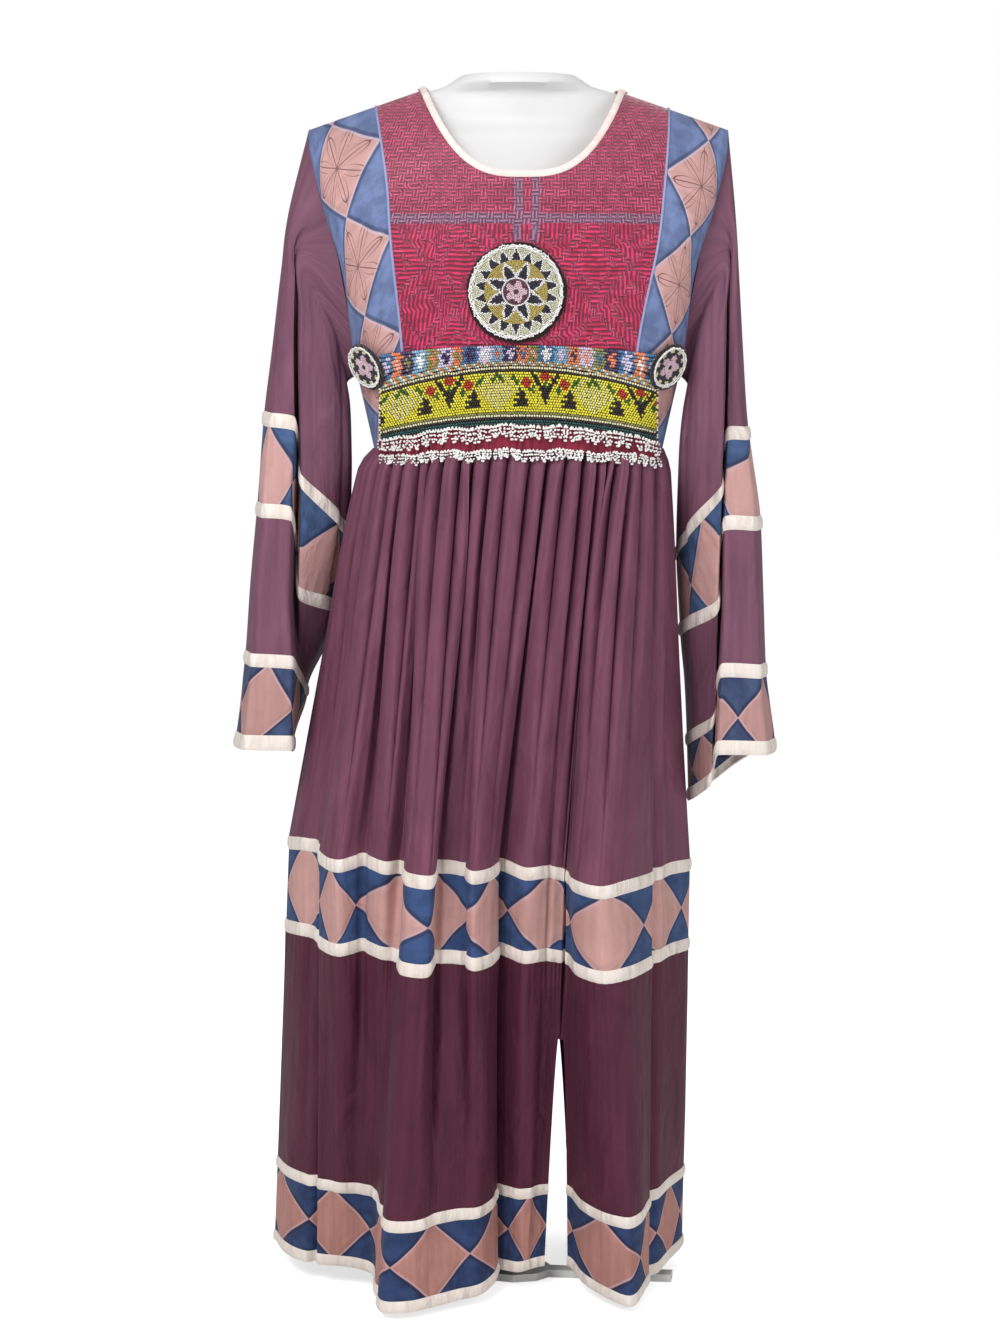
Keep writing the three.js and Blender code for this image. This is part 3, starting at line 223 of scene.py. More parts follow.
def ring_curve(knots, share, roundness=None):
    """Points on a closed curve through knots; with no roundness its pull follows their distances."""
    count = len(knots)
    place = (share % 1.0) * count
    first = np.floor(place).astype(int) % count
    t = (place - np.floor(place))[..., None]
    p0, p1, p2, p3 = (knots[(first + step) % count] for step in (-1, 0, 1, 2))
    if roundness is not None:
        pull_in, pull_out = roundness * (p2 - p0), roundness * (p3 - p1)
    else:
        gaps = [np.maximum(np.linalg.norm(b - a, axis=-1) ** 0.5, 1e-4)[..., None]
                for a, b in ((p0, p1), (p1, p2), (p2, p3))]
        pull_in = ((p1 - p0) / gaps[0] - (p2 - p0) / (gaps[0] + gaps[1]) + (p2 - p1) / gaps[1]) * gaps[1]
        pull_out = ((p2 - p1) / gaps[1] - (p3 - p1) / (gaps[1] + gaps[2]) + (p3 - p2) / gaps[2]) * gaps[1]
    return (p1 + pull_in * t + (-3 * p1 + 3 * p2 - 2 * pull_in - pull_out) * t**2
            + (2 * p1 - 2 * p2 + pull_in + pull_out) * t**3)


def signed_power(value, power):
    return np.sign(value) * np.abs(value) ** power


def shoulder_z(x):
    return NECK_POINT_Z - SHOULDER_SLOPE * (np.abs(x) - NECK_POINT_X)


def bodice_point(side, turn, z):
    """Side -1 is the front and 1 the back; turn runs from -90 at the left side to 90 at the right."""
    turn, z = np.broadcast_arrays(np.asarray(turn, float), np.asarray(z, float))
    side = np.broadcast_to(side, turn.shape)
    half = along(BODICE, "z", z, "half")
    angle = np.radians(turn)
    x = half * signed_power(np.sin(angle), 2 / OVAL_POWER)
    shape = np.maximum(np.cos(angle), 0) ** (2 / OVAL_POWER)
    below = np.clip((shoulder_z(x) - z) / SHOULDER_ROUNDING, 0, 1)
    rounding = np.sqrt(1 - (1 - below) ** 2)
    middle = (UNDERARM_Z + SHOULDER_TIP_Z) / 2
    reach = (SHOULDER_TIP_Z - UNDERARM_Z) / 2
    armhole = ARMHOLE_DEPTH * np.sqrt(np.maximum(0, 1 - ((z - middle) / reach) ** 2))
    depth = np.where(side < 0, along(BODICE, "z", z, "front"), along(BODICE, "z", z, "back"))
    depth = armhole + (depth * rounding - armhole) * shape
    return np.stack([x, side * (depth + 0.15), z], axis=-1)


def turn_at(x, z):
    ratio = np.minimum(1, np.abs(x) / along(BODICE, "z", z, "half"))
    return np.degrees(np.sign(x) * np.arcsin(ratio ** (OVAL_POWER / 2)))


def upper_edge(side, x):
    share = np.minimum(np.abs(x - NECK["x"]) / NECK["half"], 1)
    lowest = NECK["front"] if side < 0 else NECK["back"]
    neck = lowest + (NECK["top"] - lowest) * share ** NECK["power"]
    return np.where(share >= 1, shoulder_z(x), np.minimum(shoulder_z(x), neck))


def middle_knots():
    """The skirt's guide points at the middle trim and at the hem."""
    front = FRONT_FOLDS
    height = MIDDLE_Z - MIDDLE_TILT * front["mid_x"] - front["drop"]
    mid = np.stack([front["mid_x"], front["mid_y"], height], 1)
    hem = np.stack([front["hem_x"], front["hem_y"], HEM_Z + front["rise"]], 1)
    angle = BACK_FOLDS["share"] * np.pi
    rings = []
    for oval, out in (("mid", "mid_out"), ("hem", "hem_out")):
        x, half, y, depth = BACK_OVAL[oval]
        rings.append(np.stack([x + (half + BACK_FOLDS[out]) * np.cos(angle),
                               y + (depth + BACK_FOLDS[out]) * np.sin(angle)], 1))
    back_mid = np.column_stack([rings[0], MIDDLE_Z - MIDDLE_TILT * rings[0][:, 0]])
    back_hem = np.column_stack([rings[1], HEM_Z + BACK_FOLDS["rise"]])
    return np.vstack([mid, back_mid]), np.vstack([hem, back_hem])


MIDDLE_KNOTS, HEM_KNOTS = middle_knots()
FOLDS = len(MIDDLE_KNOTS)
FRONT_STEPS = len(FRONT_FOLDS["mid_x"]) - 1


def waist_turns():
    x, half = BACK_OVAL["mid"][:2]
    above = np.degrees(np.arcsin(np.clip((MIDDLE_KNOTS[:, 0] - x) / half, -1, 1)))
    fold = np.arange(FOLDS)
    front = (above + (-90 + 180 * fold / FRONT_STEPS)) / 2
    behind = (180 - above + 90 + 180 * (fold - FRONT_STEPS) / (FOLDS - FRONT_STEPS)) / 2
    turns = np.where(fold <= FRONT_STEPS, front, behind)
    return np.append(turns, turns[0] + 360)


WAIST_TURNS = waist_turns()


def waist_point(place):
    turn = np.interp(place % FOLDS, np.arange(FOLDS + 1), WAIST_TURNS)
    side = np.where(turn <= 90, -1, 1)
    return bodice_point(side, np.where(side < 0, turn, 180 - turn), WAIST_Z)


def vent_width(vent, z):
    opened = np.clip((vent["tip"] - z) / (vent["tip"] - HEM_Z), 0, 1)
    return vent["shut"] + (vent["width"] - vent["shut"]) * opened**VENT_OPENING


def lower_skirt(place, down):
    """Place counts folds round from the left side; down runs from 0 at the middle trim to 1 at the hem."""
    share = (place / FOLDS) % 1.0
    middle, hem = ring_curve(MIDDLE_KNOTS, share), ring_curve(HEM_KNOTS, share)
    point = middle + (hem - middle) * down[..., None]
    for vent in VENTS:
        offset = share * FOLDS - vent["first"]
        near = np.clip(np.where(offset < 0, 1 + offset, np.where(offset > 1, 2 - offset, 1)), 0, 1)
        rising = np.clip((vent["tip"] + 60 - point[..., 2]) / 60, 0, 1)
        spine = vent["tip_x"] + (vent["hem_x"] - vent["tip_x"]) * (1 - point[..., 2] / vent["tip"])
        edge = np.clip(offset, 0, 1) - 0.5
        wanted = spine + vent["facing"] * edge * vent_width(vent, point[..., 2])
        knot = vent["first"] + (offset > 0.5)
        knot_x = MIDDLE_KNOTS[knot, 0] + (HEM_KNOTS[knot, 0] - MIDDLE_KNOTS[knot, 0]) * down
        inside = (offset >= 0) & (offset <= 1)
        point[..., 0] += (wanted - np.where(inside, point[..., 0], knot_x)) * near * rising
    return point


def upper_skirt(place, down):
    """The gathered tier: down runs from 0 at the waist to 1 at the middle trim."""
    middle = ring_curve(MIDDLE_KNOTS, (place / FOLDS) % 1.0)
    point = waist_point(place)
    point = point + (middle - point) * (np.maximum(down, 0) ** SKIRT_SPREAD)[..., None]
    point[..., 2] = WAIST_Z + (middle[..., 2] - WAIST_Z) * down
    return point


# Mesh making

def deselect():
    bpy.ops.object.select_all(action="DESELECT")


def pick(piece):
    deselect()
    piece.select_set(True)
    bpy.context.view_layer.objects.active = piece


def apply_modifier(piece, kind, **settings):
    modifier = piece.modifiers.new(kind.lower(), kind)
    for name, value in settings.items():
        setattr(modifier, name, value)
    pick(piece)
    bpy.ops.object.modifier_apply(modifier=modifier.name)


def sew(piece, material, nodes=()):
    """Gives a piece its finish and its place in the frame, and hides the frame's parts that it stands for."""
    piece.data.materials.clear()
    piece.data.materials.append(material)
    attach(piece, "root")
    if nodes:
        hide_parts(*nodes)
    return piece


def surface_normals(points, closed):
    """Outward normals of a grid of points, rows running down and columns to the right."""
    if closed:
        right = np.roll(points[:, :-1], -1, 1) - np.roll(points[:, :-1], 1, 1)
        right = np.concatenate([right, right[:, :1]], 1)
    else:
        right = np.gradient(points, axis=1)
    down = np.gradient(points, axis=0)
    normal = np.cross(down, right)
    return normal / np.maximum(np.linalg.norm(normal, axis=-1, keepdims=True), 1e-9)


def arc_lengths(points, axis):
    steps = np.linalg.norm(np.diff(points, axis=axis), axis=-1)
    shape = list(points.shape[:2])
    shape[axis] = 1
    return np.concatenate([np.zeros(shape), np.cumsum(steps, axis=axis)], axis=axis)


def rounded(share):
    """The height of a half round across a strip, 1 in its middle and 0 at both edges."""
    return np.sqrt(np.maximum(0, 1 - (2 * share - 1) ** 2))


def cloth(name, columns, rows, surface, wall, closed=False, out=None, uv=None, cut_away=None):
    """A grid laid on a surface, given across and down from 0 to 1, then thickened inwards.
    Returns the piece and its cut: width, length and area in metres."""
    deselect()
    bpy.ops.mesh.primitive_grid_add(x_subdivisions=columns, y_subdivisions=rows, size=2)
    piece = bpy.context.object
    piece.name = piece.data.name = name
    mesh = piece.data
    plane = np.empty(len(mesh.vertices) * 3)
    mesh.vertices.foreach_get("co", plane)
    plane = plane.reshape(-1, 3)
    column = np.rint((plane[:, 0] + 1) / 2 * columns).astype(int)
    row = np.rint((1 - plane[:, 1]) / 2 * rows).astype(int)
    across, down = np.meshgrid(np.linspace(0, 1, columns + 1), np.linspace(0, 1, rows + 1))
    points = surface(across, down)
    if out is not None:
        points = points + surface_normals(points, closed) * out(across, down)[..., None]
    if uv is None:
        travelled = arc_lengths(points, 1)
        uv_u = np.broadcast_to(travelled[rows // 2], travelled.shape)
        uv_v = np.broadcast_to(arc_lengths(points, 0).mean(1)[:, None], travelled.shape)
    else:
        uv_u, uv_v = uv(points, across, down)
    mesh.vertices.foreach_set("co", (points[row, column] * MM).ravel())
    corner = np.empty(len(mesh.loops), int)
    mesh.loops.foreach_get("vertex_index", corner)
    values = np.stack([uv_u[row, column][corner], uv_v[row, column][corner]], 1) * MM
    mesh.uv_layers.active.data.foreach_set("uv", values.ravel())
    mesh.update()
    edges = points * MM
    diagonals = np.cross(edges[1:, 1:] - edges[:-1, :-1], edges[1:, :-1] - edges[:-1, 1:])
    quads = np.linalg.norm(diagonals, axis=-1) / 2
    if cut_away is not None:
        gone = cut_away((across[:-1, :-1] + across[1:, 1:]) / 2, points[:-1, :-1, 2])
        quads = np.where(gone, 0, quads)
        delete_faces(piece, gone[row[corner].reshape(-1, 4).min(1), column[corner].reshape(-1, 4).min(1)])
    if closed:
        bpy.ops.object.mode_set(mode="EDIT")
        bpy.ops.mesh.select_all(action="SELECT")
        bpy.ops.mesh.remove_doubles(threshold=0.00002)
        bpy.ops.object.mode_set(mode="OBJECT")
    apply_modifier(piece, "SOLIDIFY", thickness=wall * MM, offset=-1, use_even_offset=False)
    bpy.ops.object.shade_smooth_by_angle(angle=SMOOTH_ANGLE)
    width = arc_lengths(edges, 1)[:, -1].max()
    length = arc_lengths(edges, 0)[-1].max()
    area = min(quads.sum(), width * length)
    return piece, (float(width), float(length), float(area))


def pieced(marks, place_of, around=None):
    """Lays a band's patches so that their corners meet at marks, given as places with whole numbers.
    A closed band has a whole number of patches around; past an open one's marks they are even."""
    marks = np.array(marks, float)
    past = around or 60

    def laid(points, across, down):
        middle = len(points) // 2
        row = points[middle]
        travelled = arc_lengths(points, 1)[middle]
        total = travelled[-1]
        places = place_of(across[middle])
        backwards = places[0] > places[-1]
        if backwards:
            travelled = total - travelled
        order = np.argsort(places)
        spots = np.interp(marks[:, 0], places[order], travelled[order])
        if around:
            before = (spots[-1] - total, marks[-1, 1] - past)
            after = (spots[0] + total, marks[0, 1] + past)
            ahead = np.concatenate([row[1:], row[1:2]])
            behind = np.concatenate([row[-2:-1], row[:-1]])
        else:
            before = (spots[0] - past * PATCH_PERIOD, marks[0, 1] - past)
            after = (spots[-1] + past * PATCH_PERIOD, marks[-1, 1] + past)
            ahead = np.concatenate([row[1:], row[-1:]])
            behind = np.concatenate([row[:1], row[:-1]])
        known = np.array([before, *zip(spots, marks[:, 1]), after])
        forward = behind - ahead if backwards else ahead - behind
        forward = forward / np.linalg.norm(forward, axis=1, keepdims=True)
        shifted = travelled + PATCH_SQUARENESS * ((points - row) * forward).sum(-1)
        u = np.interp(shifted, known[:, 0], known[:, 1]) * PATCH_PERIOD
        v = arc_lengths(points, 0).mean(1)[:, None]
        return u, np.broadcast_to(v, across.shape)
    return laid


def delete_faces(piece, lost):
    mesh = piece.data
    bpy.ops.object.mode_set(mode="EDIT")
    bpy.ops.mesh.select_all(action="DESELECT")
    bpy.ops.object.mode_set(mode="OBJECT")
    mesh.polygons.foreach_set("select", lost)
    bpy.ops.object.mode_set(mode="EDIT")
    bpy.context.tool_settings.mesh_select_mode = (False, False, True)
    bpy.ops.mesh.delete(type="FACE")
    bpy.ops.object.mode_set(mode="OBJECT")


# Shader helpers

class Signal:
    """A value in a shader; sums and products of signals make the nodes that work them out."""

    def __init__(self, tree, socket):
        self.tree = tree
        self.socket = socket

    def work(self, operation, *others):
        return maths(self.tree, operation, self, *others)

    def __add__(self, other):
        return self.work("ADD", other)

    def __sub__(self, other):
        return self.work("SUBTRACT", other)

    def __rsub__(self, other):
        return maths(self.tree, "SUBTRACT", other, self)

    def __mul__(self, other):
        return self.work("MULTIPLY", other)

    def __truediv__(self, other):
        return self.work("DIVIDE", other)

    def __abs__(self):
        return self.work("ABSOLUTE")

    def feed(self, socket):
        self.tree.links.new(self.socket, socket)


def paint(red, green, blue):
    """A colour given as the eye sees it, 0 to 255, as Blender's own numbers."""
    def linear(value):
        value /= 255
        return value / 12.92 if value <= 0.04045 else ((value + 0.055) / 1.055) ** 2.4
    return (linear(red), linear(green), linear(blue), 1)


def tinted(colour, share, more=0):
    return paint(*(min(255, channel * share + more) for channel in colour))


def node(tree, kind, settings=(), inputs=()):
    """A new node; each input is linked to a signal or set to a plain value."""
    made = tree.nodes.new(kind)
    for name, value in dict(settings).items():
        setattr(made, name, value)
    for label, value in dict(inputs).items():
        if isinstance(value, Signal):
            value.feed(made.inputs[label])
        else:
            made.inputs[label].default_value = value
    return made


def signal(tree, kind, inputs=(), output=0, **settings):
    return Signal(tree, node(tree, kind, settings, inputs).outputs[output])


def maths(tree, operation, *values):
    return signal(tree, "ShaderNodeMath", dict(enumerate(values)), operation=operation)


def blend(factor, first, second):
    """The first colour where the factor is 0, the second where it is 1."""
    return signal(factor.tree, "ShaderNodeMix", {0: factor, 6: first, 7: second}, 2, data_type="RGBA")


def either(share, first, second):
    return first * share + second * (1.0 - share)


def edge_of(value, near, far):
    """1 below near, 0 above far, soft between."""
    return signal(value.tree, "ShaderNodeMapRange", {0: value, 1: near, 2: far, 3: 1.0, 4: 0.0},
                  interpolation_type="SMOOTHSTEP")


def stretched(value, low, high):
    """0 at the low value, 1 at the high one."""
    return signal(value.tree, "ShaderNodeMapRange", {0: value, 1: low, 2: high})


def noise(place, scale, detail=2.0, **inputs):
    values = {"Vector": place, "Scale": scale, "Detail": detail, **inputs}
    return signal(place.tree, "ShaderNodeTexNoise", values)


def scaled(place, stretch):
    return signal(place.tree, "ShaderNodeMapping", {0: place, 3: stretch})


def split(place):
    parts = node(place.tree, "ShaderNodeSeparateXYZ", inputs={0: place}).outputs
    return [Signal(place.tree, part) for part in parts]


def cloth_place(tree):
    return signal(tree, "ShaderNodeUVMap")


def object_place(tree):
    return signal(tree, "ShaderNodeTexCoord", output="Object")


def new_group(name, inputs, outputs):
    """A node group; its inputs are numbers with a first value, or a vector where that is None."""
    group = bpy.data.node_groups.new(name, "ShaderNodeTree")
    for label, value in inputs.items():
        kind = "NodeSocketVector" if value is None else "NodeSocketFloat"
        socket = group.interface.new_socket(label, in_out="INPUT", socket_type=kind)
        if value is not None:
            socket.default_value = value
    for label in outputs:
        group.interface.new_socket(label, in_out="OUTPUT", socket_type="NodeSocketFloat")
    sockets = group.nodes.new("NodeGroupInput").outputs
    given = {label: Signal(group, sockets[label]) for label in inputs}
    return group, given, group.nodes.new("NodeGroupOutput").inputs


def use_group(tree, group, **inputs):
    made = node(tree, "ShaderNodeGroup", {"node_tree": group}, inputs)
    return {socket.name: Signal(tree, socket) for socket in made.outputs}


def make_weave():
    """Woven cloth: slubs along and across the threads, faint soft wrinkles, uneven dyeing, and painted shade
    in the wrinkles' hollows with painted light on their crests.
    """
    tree, given, made = new_group("weave", {"Place": None, "Thread": 1.0, "Crumple": 1.0}, ("Height", "DyeAndWrinkleShade"))
    place = given["Place"]
    slubs = [noise(scaled(place, stretch), 1400.0, 1.0) for stretch in ((1.0, 0.06, 1.0), (0.06, 1.0, 1.0))]
    threads = (slubs[0] + slubs[1]) * given["Thread"]
    wrinkle = noise(scaled(place, (1.0, 0.45, 1.0)), 34.0, 3.0, Distortion=0.6)
    (threads * 0.22 + wrinkle * 9.0 * given["Crumple"]).feed(made["Height"])
    mottle = noise(scaled(place, (1.0, 0.05, 1.0)), 160.0, 3.0)
    # Part of the colour follows the wrinkles' height: painted shade in their hollows and painted light on
    # their crests; the rest is uneven dyeing.
    (mottle * 0.6 + wrinkle * 0.4).feed(made["DyeAndWrinkleShade"])
    return tree


def make_patchwork():
    """Squares on point between triangles, pieced in a row, with their seams, a painted shadow line beside
    each seam, and stitched petals.
    """
    tree, given, made = new_group(
        "patchwork",
        {"Place": None, "Period": 0.08, "Tall": 0.07, "Shift": 0.0, "Lean": 0.0, "Petals": 0.0},
        ("Diamond", "Seam", "DitchShadow", "Petal", "Puff"))
    bend = (noise(given["Place"], 22.0, 1.0) - 0.5) * 0.07
    run, rise, _ = split(given["Place"])
    level = rise / given["Tall"] - 0.5
    across = (run + given["Shift"] + level * given["Lean"]) / given["Period"] + bend
    side = across.work("FRACT") - 0.5
    # The distance from the diamond's edge, in metres, less than 0 inside it
    off = (abs(side) + abs(level) - 0.5) * 0.052
    edge_of(off, -0.0003, 0.0003).feed(made["Diamond"])
    edge_of(abs(off + 0.0006), 0.0004, 0.0013).feed(made["Seam"])
    # A painted shadow line just outside each seam, on the blue side.
    edge_of(abs(off - 0.0015), 0.0005, 0.0022).feed(made["DitchShadow"])
    edge_of(abs(off), 0.0, 0.005).feed(made["Puff"])
    # Eight petals with a rib each, round the diamond's middle
    run_off = side * given["Period"]
    rise_off = level * given["Tall"]
    radius = (run_off * run_off + rise_off * rise_off).work("SQRT")
    turn = rise_off.work("ARCTAN2", run_off) * 4.0 + 0.5
    petal = abs(turn.work("COSINE")) * 0.036
    loop = edge_of(abs(radius - petal), 0.0003, 0.0014)
    rib = edge_of(abs(turn.work("SINE")) * radius, 0.0004, 0.0026) * edge_of(radius, 0.038, 0.044)
    (loop.work("MAXIMUM", rib) * given["Petals"]).feed(made["Petal"])
    return tree


def finish(name, roughness=0.7, sheen=0.0, shine=0.5, **shader):
    """A material with its own shader; returns it with its tree and the shader's inputs."""
    material = bpy.data.materials.new(name)
    material.use_nodes = True
    tree = material.node_tree
    inputs = tree.nodes["Principled BSDF"].inputs
    inputs["Roughness"].default_value = roughness
    inputs["Sheen Weight"].default_value = sheen
    inputs["Specular IOR Level"].default_value = shine
    for label, value in shader.items():
        inputs[label.replace("_", " ")].default_value = value
    return material, tree, inputs


def add_bump(inputs, height, strength=0.6):
    values = {"Height": height, "Strength": strength, "Distance": MM}
    signal(height.tree, "ShaderNodeBump", values).feed(inputs["Normal"])


def plain_cloth(name, light, dark, roughness=0.6, sheen=0.06, crumple=1.0, thread=1.0, strength=0.6):
    material, tree, inputs = finish(name, roughness, sheen, CLOTH_SHINE)
    weave = use_group(tree, WEAVE, Place=cloth_place(tree), Crumple=crumple, Thread=thread)
    # Dark to light by uneven dyeing and by painted shade in the wrinkles.
    blend(stretched(weave["DyeAndWrinkleShade"], 0.35, 0.65), paint(*dark), paint(*light)).feed(inputs["Base Color"])
    add_bump(inputs, weave["Height"], strength)
    return material


def patch_cloth(name, pink, blue, seam, period, tall, shift=0.0, lean=0.0, petals=0.0, cross=0.13):
    """Two cottons pieced together, rubbed and stained in places, with painted shadow beside each seam. Cross
    is how far their colour varies with the uneven dyeing and the painted wrinkle shade.
    """
    material, tree, inputs = finish(name, 0.75, 0.04, CLOTH_SHINE)
    place = cloth_place(tree)
    weave = use_group(tree, WEAVE, Place=place, Crumple=0.8, Thread=1.2)
    patch = use_group(tree, PATCHWORK, Place=place, Period=period, Tall=tall, Shift=shift, Lean=lean,
                      Petals=petals)
    # The weave's uneven dyeing together with its painted wrinkle shade.
    mottle = stretched(weave["DyeAndWrinkleShade"], 0.3, 0.7)
    cloudy = noise(place, 55.0, 3.0)
    shades = [blend(mottle, tinted(colour, 1 - cross), paint(*colour)) for colour in (pink, blue)]
    rubbed = blend(edge_of(1.0 - cloudy, 0.35, 0.62) * 0.3, shades[1], tinted(blue, 1.3, 14))
    stained = blend(edge_of(cloudy, 0.32, 0.55) * 0.3, shades[0], tinted(pink, 0.84))
    colour = blend(patch["Diamond"], rubbed, stained)
    colour = blend(patch["Petal"] * patch["Diamond"] * 0.85, colour, paint(104, 66, 68))
    # Painted shadow beside each seam, on the blue side.
    colour = blend(patch["DitchShadow"] * 0.5, colour, paint(34, 26, 44))
    blend(patch["Seam"] * 0.6, colour, paint(*seam)).feed(inputs["Base Color"])
    add_bump(inputs, weave["Height"] - patch["Puff"] * 1.4 - patch["Petal"] * 0.8, 0.7)
    return material


def stepped(value, pitch):
    return (value / pitch).work("FLOOR") * pitch


def parity(first, second):
    """0 and 1 by turns, from cell to cell."""
    return ((first.work("FLOOR") + second.work("FLOOR")) * 0.5).work("FRACT") * 2.0


def centred(value):
    """How far a value lies from the middle of its cell."""
    return abs(value.work("FRACT") - 0.5)


def stripes(value, pitch, near, far):
    """Dark gaps between rounded rows, one row for each pitch."""
    return edge_of(0.5 - centred(value / pitch), near, far)


def embroidered_yoke():
    """Dense floats: a basket weave above a pale line, and nested stepped diamonds of satin below it."""
    material, tree, inputs = finish("yoke_embroidery", 0.5, 0.1)
    place = cloth_place(tree)
    run, rise, _ = split(place)
    drift = (noise(place, 45.0) - 0.5) * 0.004
    across = run + drift
    height = rise + drift
    # The satin's nested diamonds, in whole stitches
    column = stepped(abs(across - YOKE_MIDDLE), STITCH) - YOKE_DIAMOND[0]
    row = stepped(height, STITCH) - YOKE_DIAMOND[1]
    first = (column + row) / YOKE_CELL + 0.5
    second = (column - row) / YOKE_CELL + 0.5
    reach = centred(first).work("MAXIMUM", centred(second))
    nests = [edge_of(abs(reach - level), width, width + 0.03)
             for level, width in ((0.5, 0.03), (0.29, 0.018))]
    motif = nests[0].work("MAXIMUM", nests[1])
    satin_gap = either(parity(first, second), stripes(across, STITCH, 0.12, 0.3),
                       stripes(height, STITCH, 0.12, 0.3))
    # The basket weave: blocks of short floats, turned one way and the other
    turned = parity(across / BLOCK, height / BLOCK)
    basket_gap = either(turned, stripes(across, BLOCK / 2, 0.1, 0.32), stripes(height, BLOCK / 2, 0.1, 0.32))
    corner = centred(across / BLOCK).work("POWER", 2.0) + centred(height / BLOCK).work("POWER", 2.0)
    dots = edge_of(0.5 - corner, 0.07, 0.16)
    uneven = noise(place, 330.0)
    patches = noise(place, 120.0)
    some_dots = dots * edge_of(1.0 - patches, 0.42, 0.56)
    upper = edge_of(YOKE_LINE - height, -0.0004, 0.0004)
    satin = (1.0 - upper) * (1.0 - motif)
    gaps = either(satin, satin_gap, basket_gap)
    # Each float has its own tone
    cell = signal(tree, "ShaderNodeCombineXYZ", {0: stepped(across, STITCH * 2), 1: stepped(height, STITCH)})
    own = signal(tree, "ShaderNodeTexWhiteNoise", {"Vector": cell}, noise_dimensions="3D")
    lively = own * 0.65 + uneven * 0.35
    silk = blend(lively, paint(158, 8, 50), paint(236, 52, 108))
    quiet = blend(lively, paint(152, 24, 66), paint(222, 82, 122))
    quiet = blend(some_dots * 0.85, quiet, paint(236, 204, 214))
    threads = blend(satin, quiet, silk)
    # The pale level line and the two bars above it, worn away in places
    level = edge_of(abs(height - (YOKE_LINE + 0.0055)), 0.004, 0.006)
    bars = [edge_of(abs(across - bar), 0.0035, 0.005) for bar in YOKE_BARS]
    bar = bars[0].work("MAXIMUM", bars[1]) * edge_of(YOKE_BARS_FROM - height, 0.0, 0.002)
    worn = edge_of(patches, 0.35, 0.7) * 0.3 + 0.5
    threads = blend(bar.work("MAXIMUM", level) * worn, threads, paint(138, 126, 156))
    colour = blend(gaps * 0.85, threads, paint(78, 26, 52))
    # Paler towards the top of the yoke.
    paler_up_top = edge_of(1.3 - height, 0.06, 0.22)
    blend(paler_up_top * 0.12, colour, paint(214, 160, 178)).feed(inputs["Base Color"])
    add_bump(inputs, (1.0 - gaps) * 1.2 + satin * 0.4 + uneven * 0.5, 0.9)
    return material


def glass_beads():
    """Glass in each bead's own colour, which the mesh carries."""
    material, tree, inputs = finish("glass_beads", 0.28, Coat_Weight=0.4)
    spots = noise(object_place(tree), 400.0)
    dyed = signal(tree, "ShaderNodeAttribute", attribute_name="shade")
    blend(spots * 0.12, dyed, paint(120, 110, 100)).feed(inputs["Base Color"])
    add_bump(inputs, spots, 0.3)
    return material


def white_form():
    material, tree, inputs = finish("form_white", 0.55)
    place = object_place(tree)
    blend(noise(place, 9.0), paint(222, 222, 222), paint(229, 229, 229)).feed(inputs["Base Color"])
    add_bump(inputs, noise(place, 700.0), 0.08)
    return material


def white_steel():
    material, tree, inputs = finish("white_steel", 0.35, Coat_Weight=0.2)
    chips = noise(object_place(tree), 120.0, 3.0)
    blend(edge_of(chips, 0.2, 0.3), paint(236, 236, 235), paint(206, 206, 206)).feed(inputs["Base Color"])
    add_bump(inputs, chips, 0.1)
    return material


WEAVE = make_weave()
PATCHWORK = make_patchwork()
PLUM = plain_cloth("plum_cloth", (124, 74, 95), (104, 58, 78), sheen=0.03)
# The plum cloth made darker for the lower tier: painted shade towards the hem.
LOWER_PLUM_PAINTED_SHADE = plain_cloth("lower_plum_painted_shade", (92, 42, 62), (76, 31, 50), sheen=0.02)
SLEEVE_PLUM = plain_cloth("sleeve_cloth", (130, 86, 106), (110, 70, 90), sheen=0.03)
TAPE = plain_cloth("tape", (246, 238, 230), (230, 216, 206), 0.8, 0.1, 1.6, 1.4, 0.8)
BINDING = plain_cloth("binding_cloth", (248, 236, 230), (238, 216, 210), 0.8, 0.1)
PIPING = plain_cloth("piping_cloth", (166, 170, 208), (140, 146, 186), 0.7, 0.1)
MAROON = plain_cloth("maroon_frill", (150, 44, 68), (98, 22, 42), 0.75, 0.2, 1.4, 1.6)
YOKE = embroidered_yoke()
BEADS = glass_beads()
FORM_WHITE = white_form()
STEEL = white_steel()

# The dress form and its stand


def dress_form():
    def surface(across, down):
        z = FORM["z"][-1] + (FORM["z"][0] - FORM["z"][-1]) * down
        half, depth, power = (along(FORM, "z", z, column) for column in ("half", "depth", "power"))
        angle = -np.pi + across * 2 * np.pi
        x = half * signed_power(np.cos(angle), 2 / power)
        y = depth * signed_power(np.sin(angle), 2 / power)
        return np.stack([x, y, z], axis=-1)

    piece, _ = cloth("form_body", 80, 110, surface, 3, closed=True)
    return sew(piece, FORM_WHITE, ["dress_form"])


def form_cap():
    """The neck's rounded top plate."""
    deselect()
    bpy.ops.mesh.primitive_cylinder_add(vertices=64, radius=1, depth=0.012, location=(0, 0, 1.2555))
    piece = bpy.context.object
    piece.name = "form_neck_cap"
    piece.scale = (0.0605, 0.0455, 1)
    bpy.ops.object.transform_apply(location=True, rotation=True, scale=True)
    apply_modifier(piece, "BEVEL", width=0.003, segments=4)
    bpy.ops.object.shade_smooth_by_angle(angle=math.radians(40))
    return sew(piece, FORM_WHITE)


dress_form()
form_cap()

# The bodice


def column_tops(side, turn_of):
    """Heights where the panel's columns meet the neck's edge or the shoulder."""
    count = len(turn_of(1100.0))
    low, high = np.full(count, 1100.0), np.full(count, 1262.0)
    for _ in range(40):
        z = (low + high) / 2
        x = bodice_point(side, turn_of(z), z)[:, 0]
        above = upper_edge(side, x) > z
        low, high = np.where(above, z, low), np.where(above, high, z)
    return low


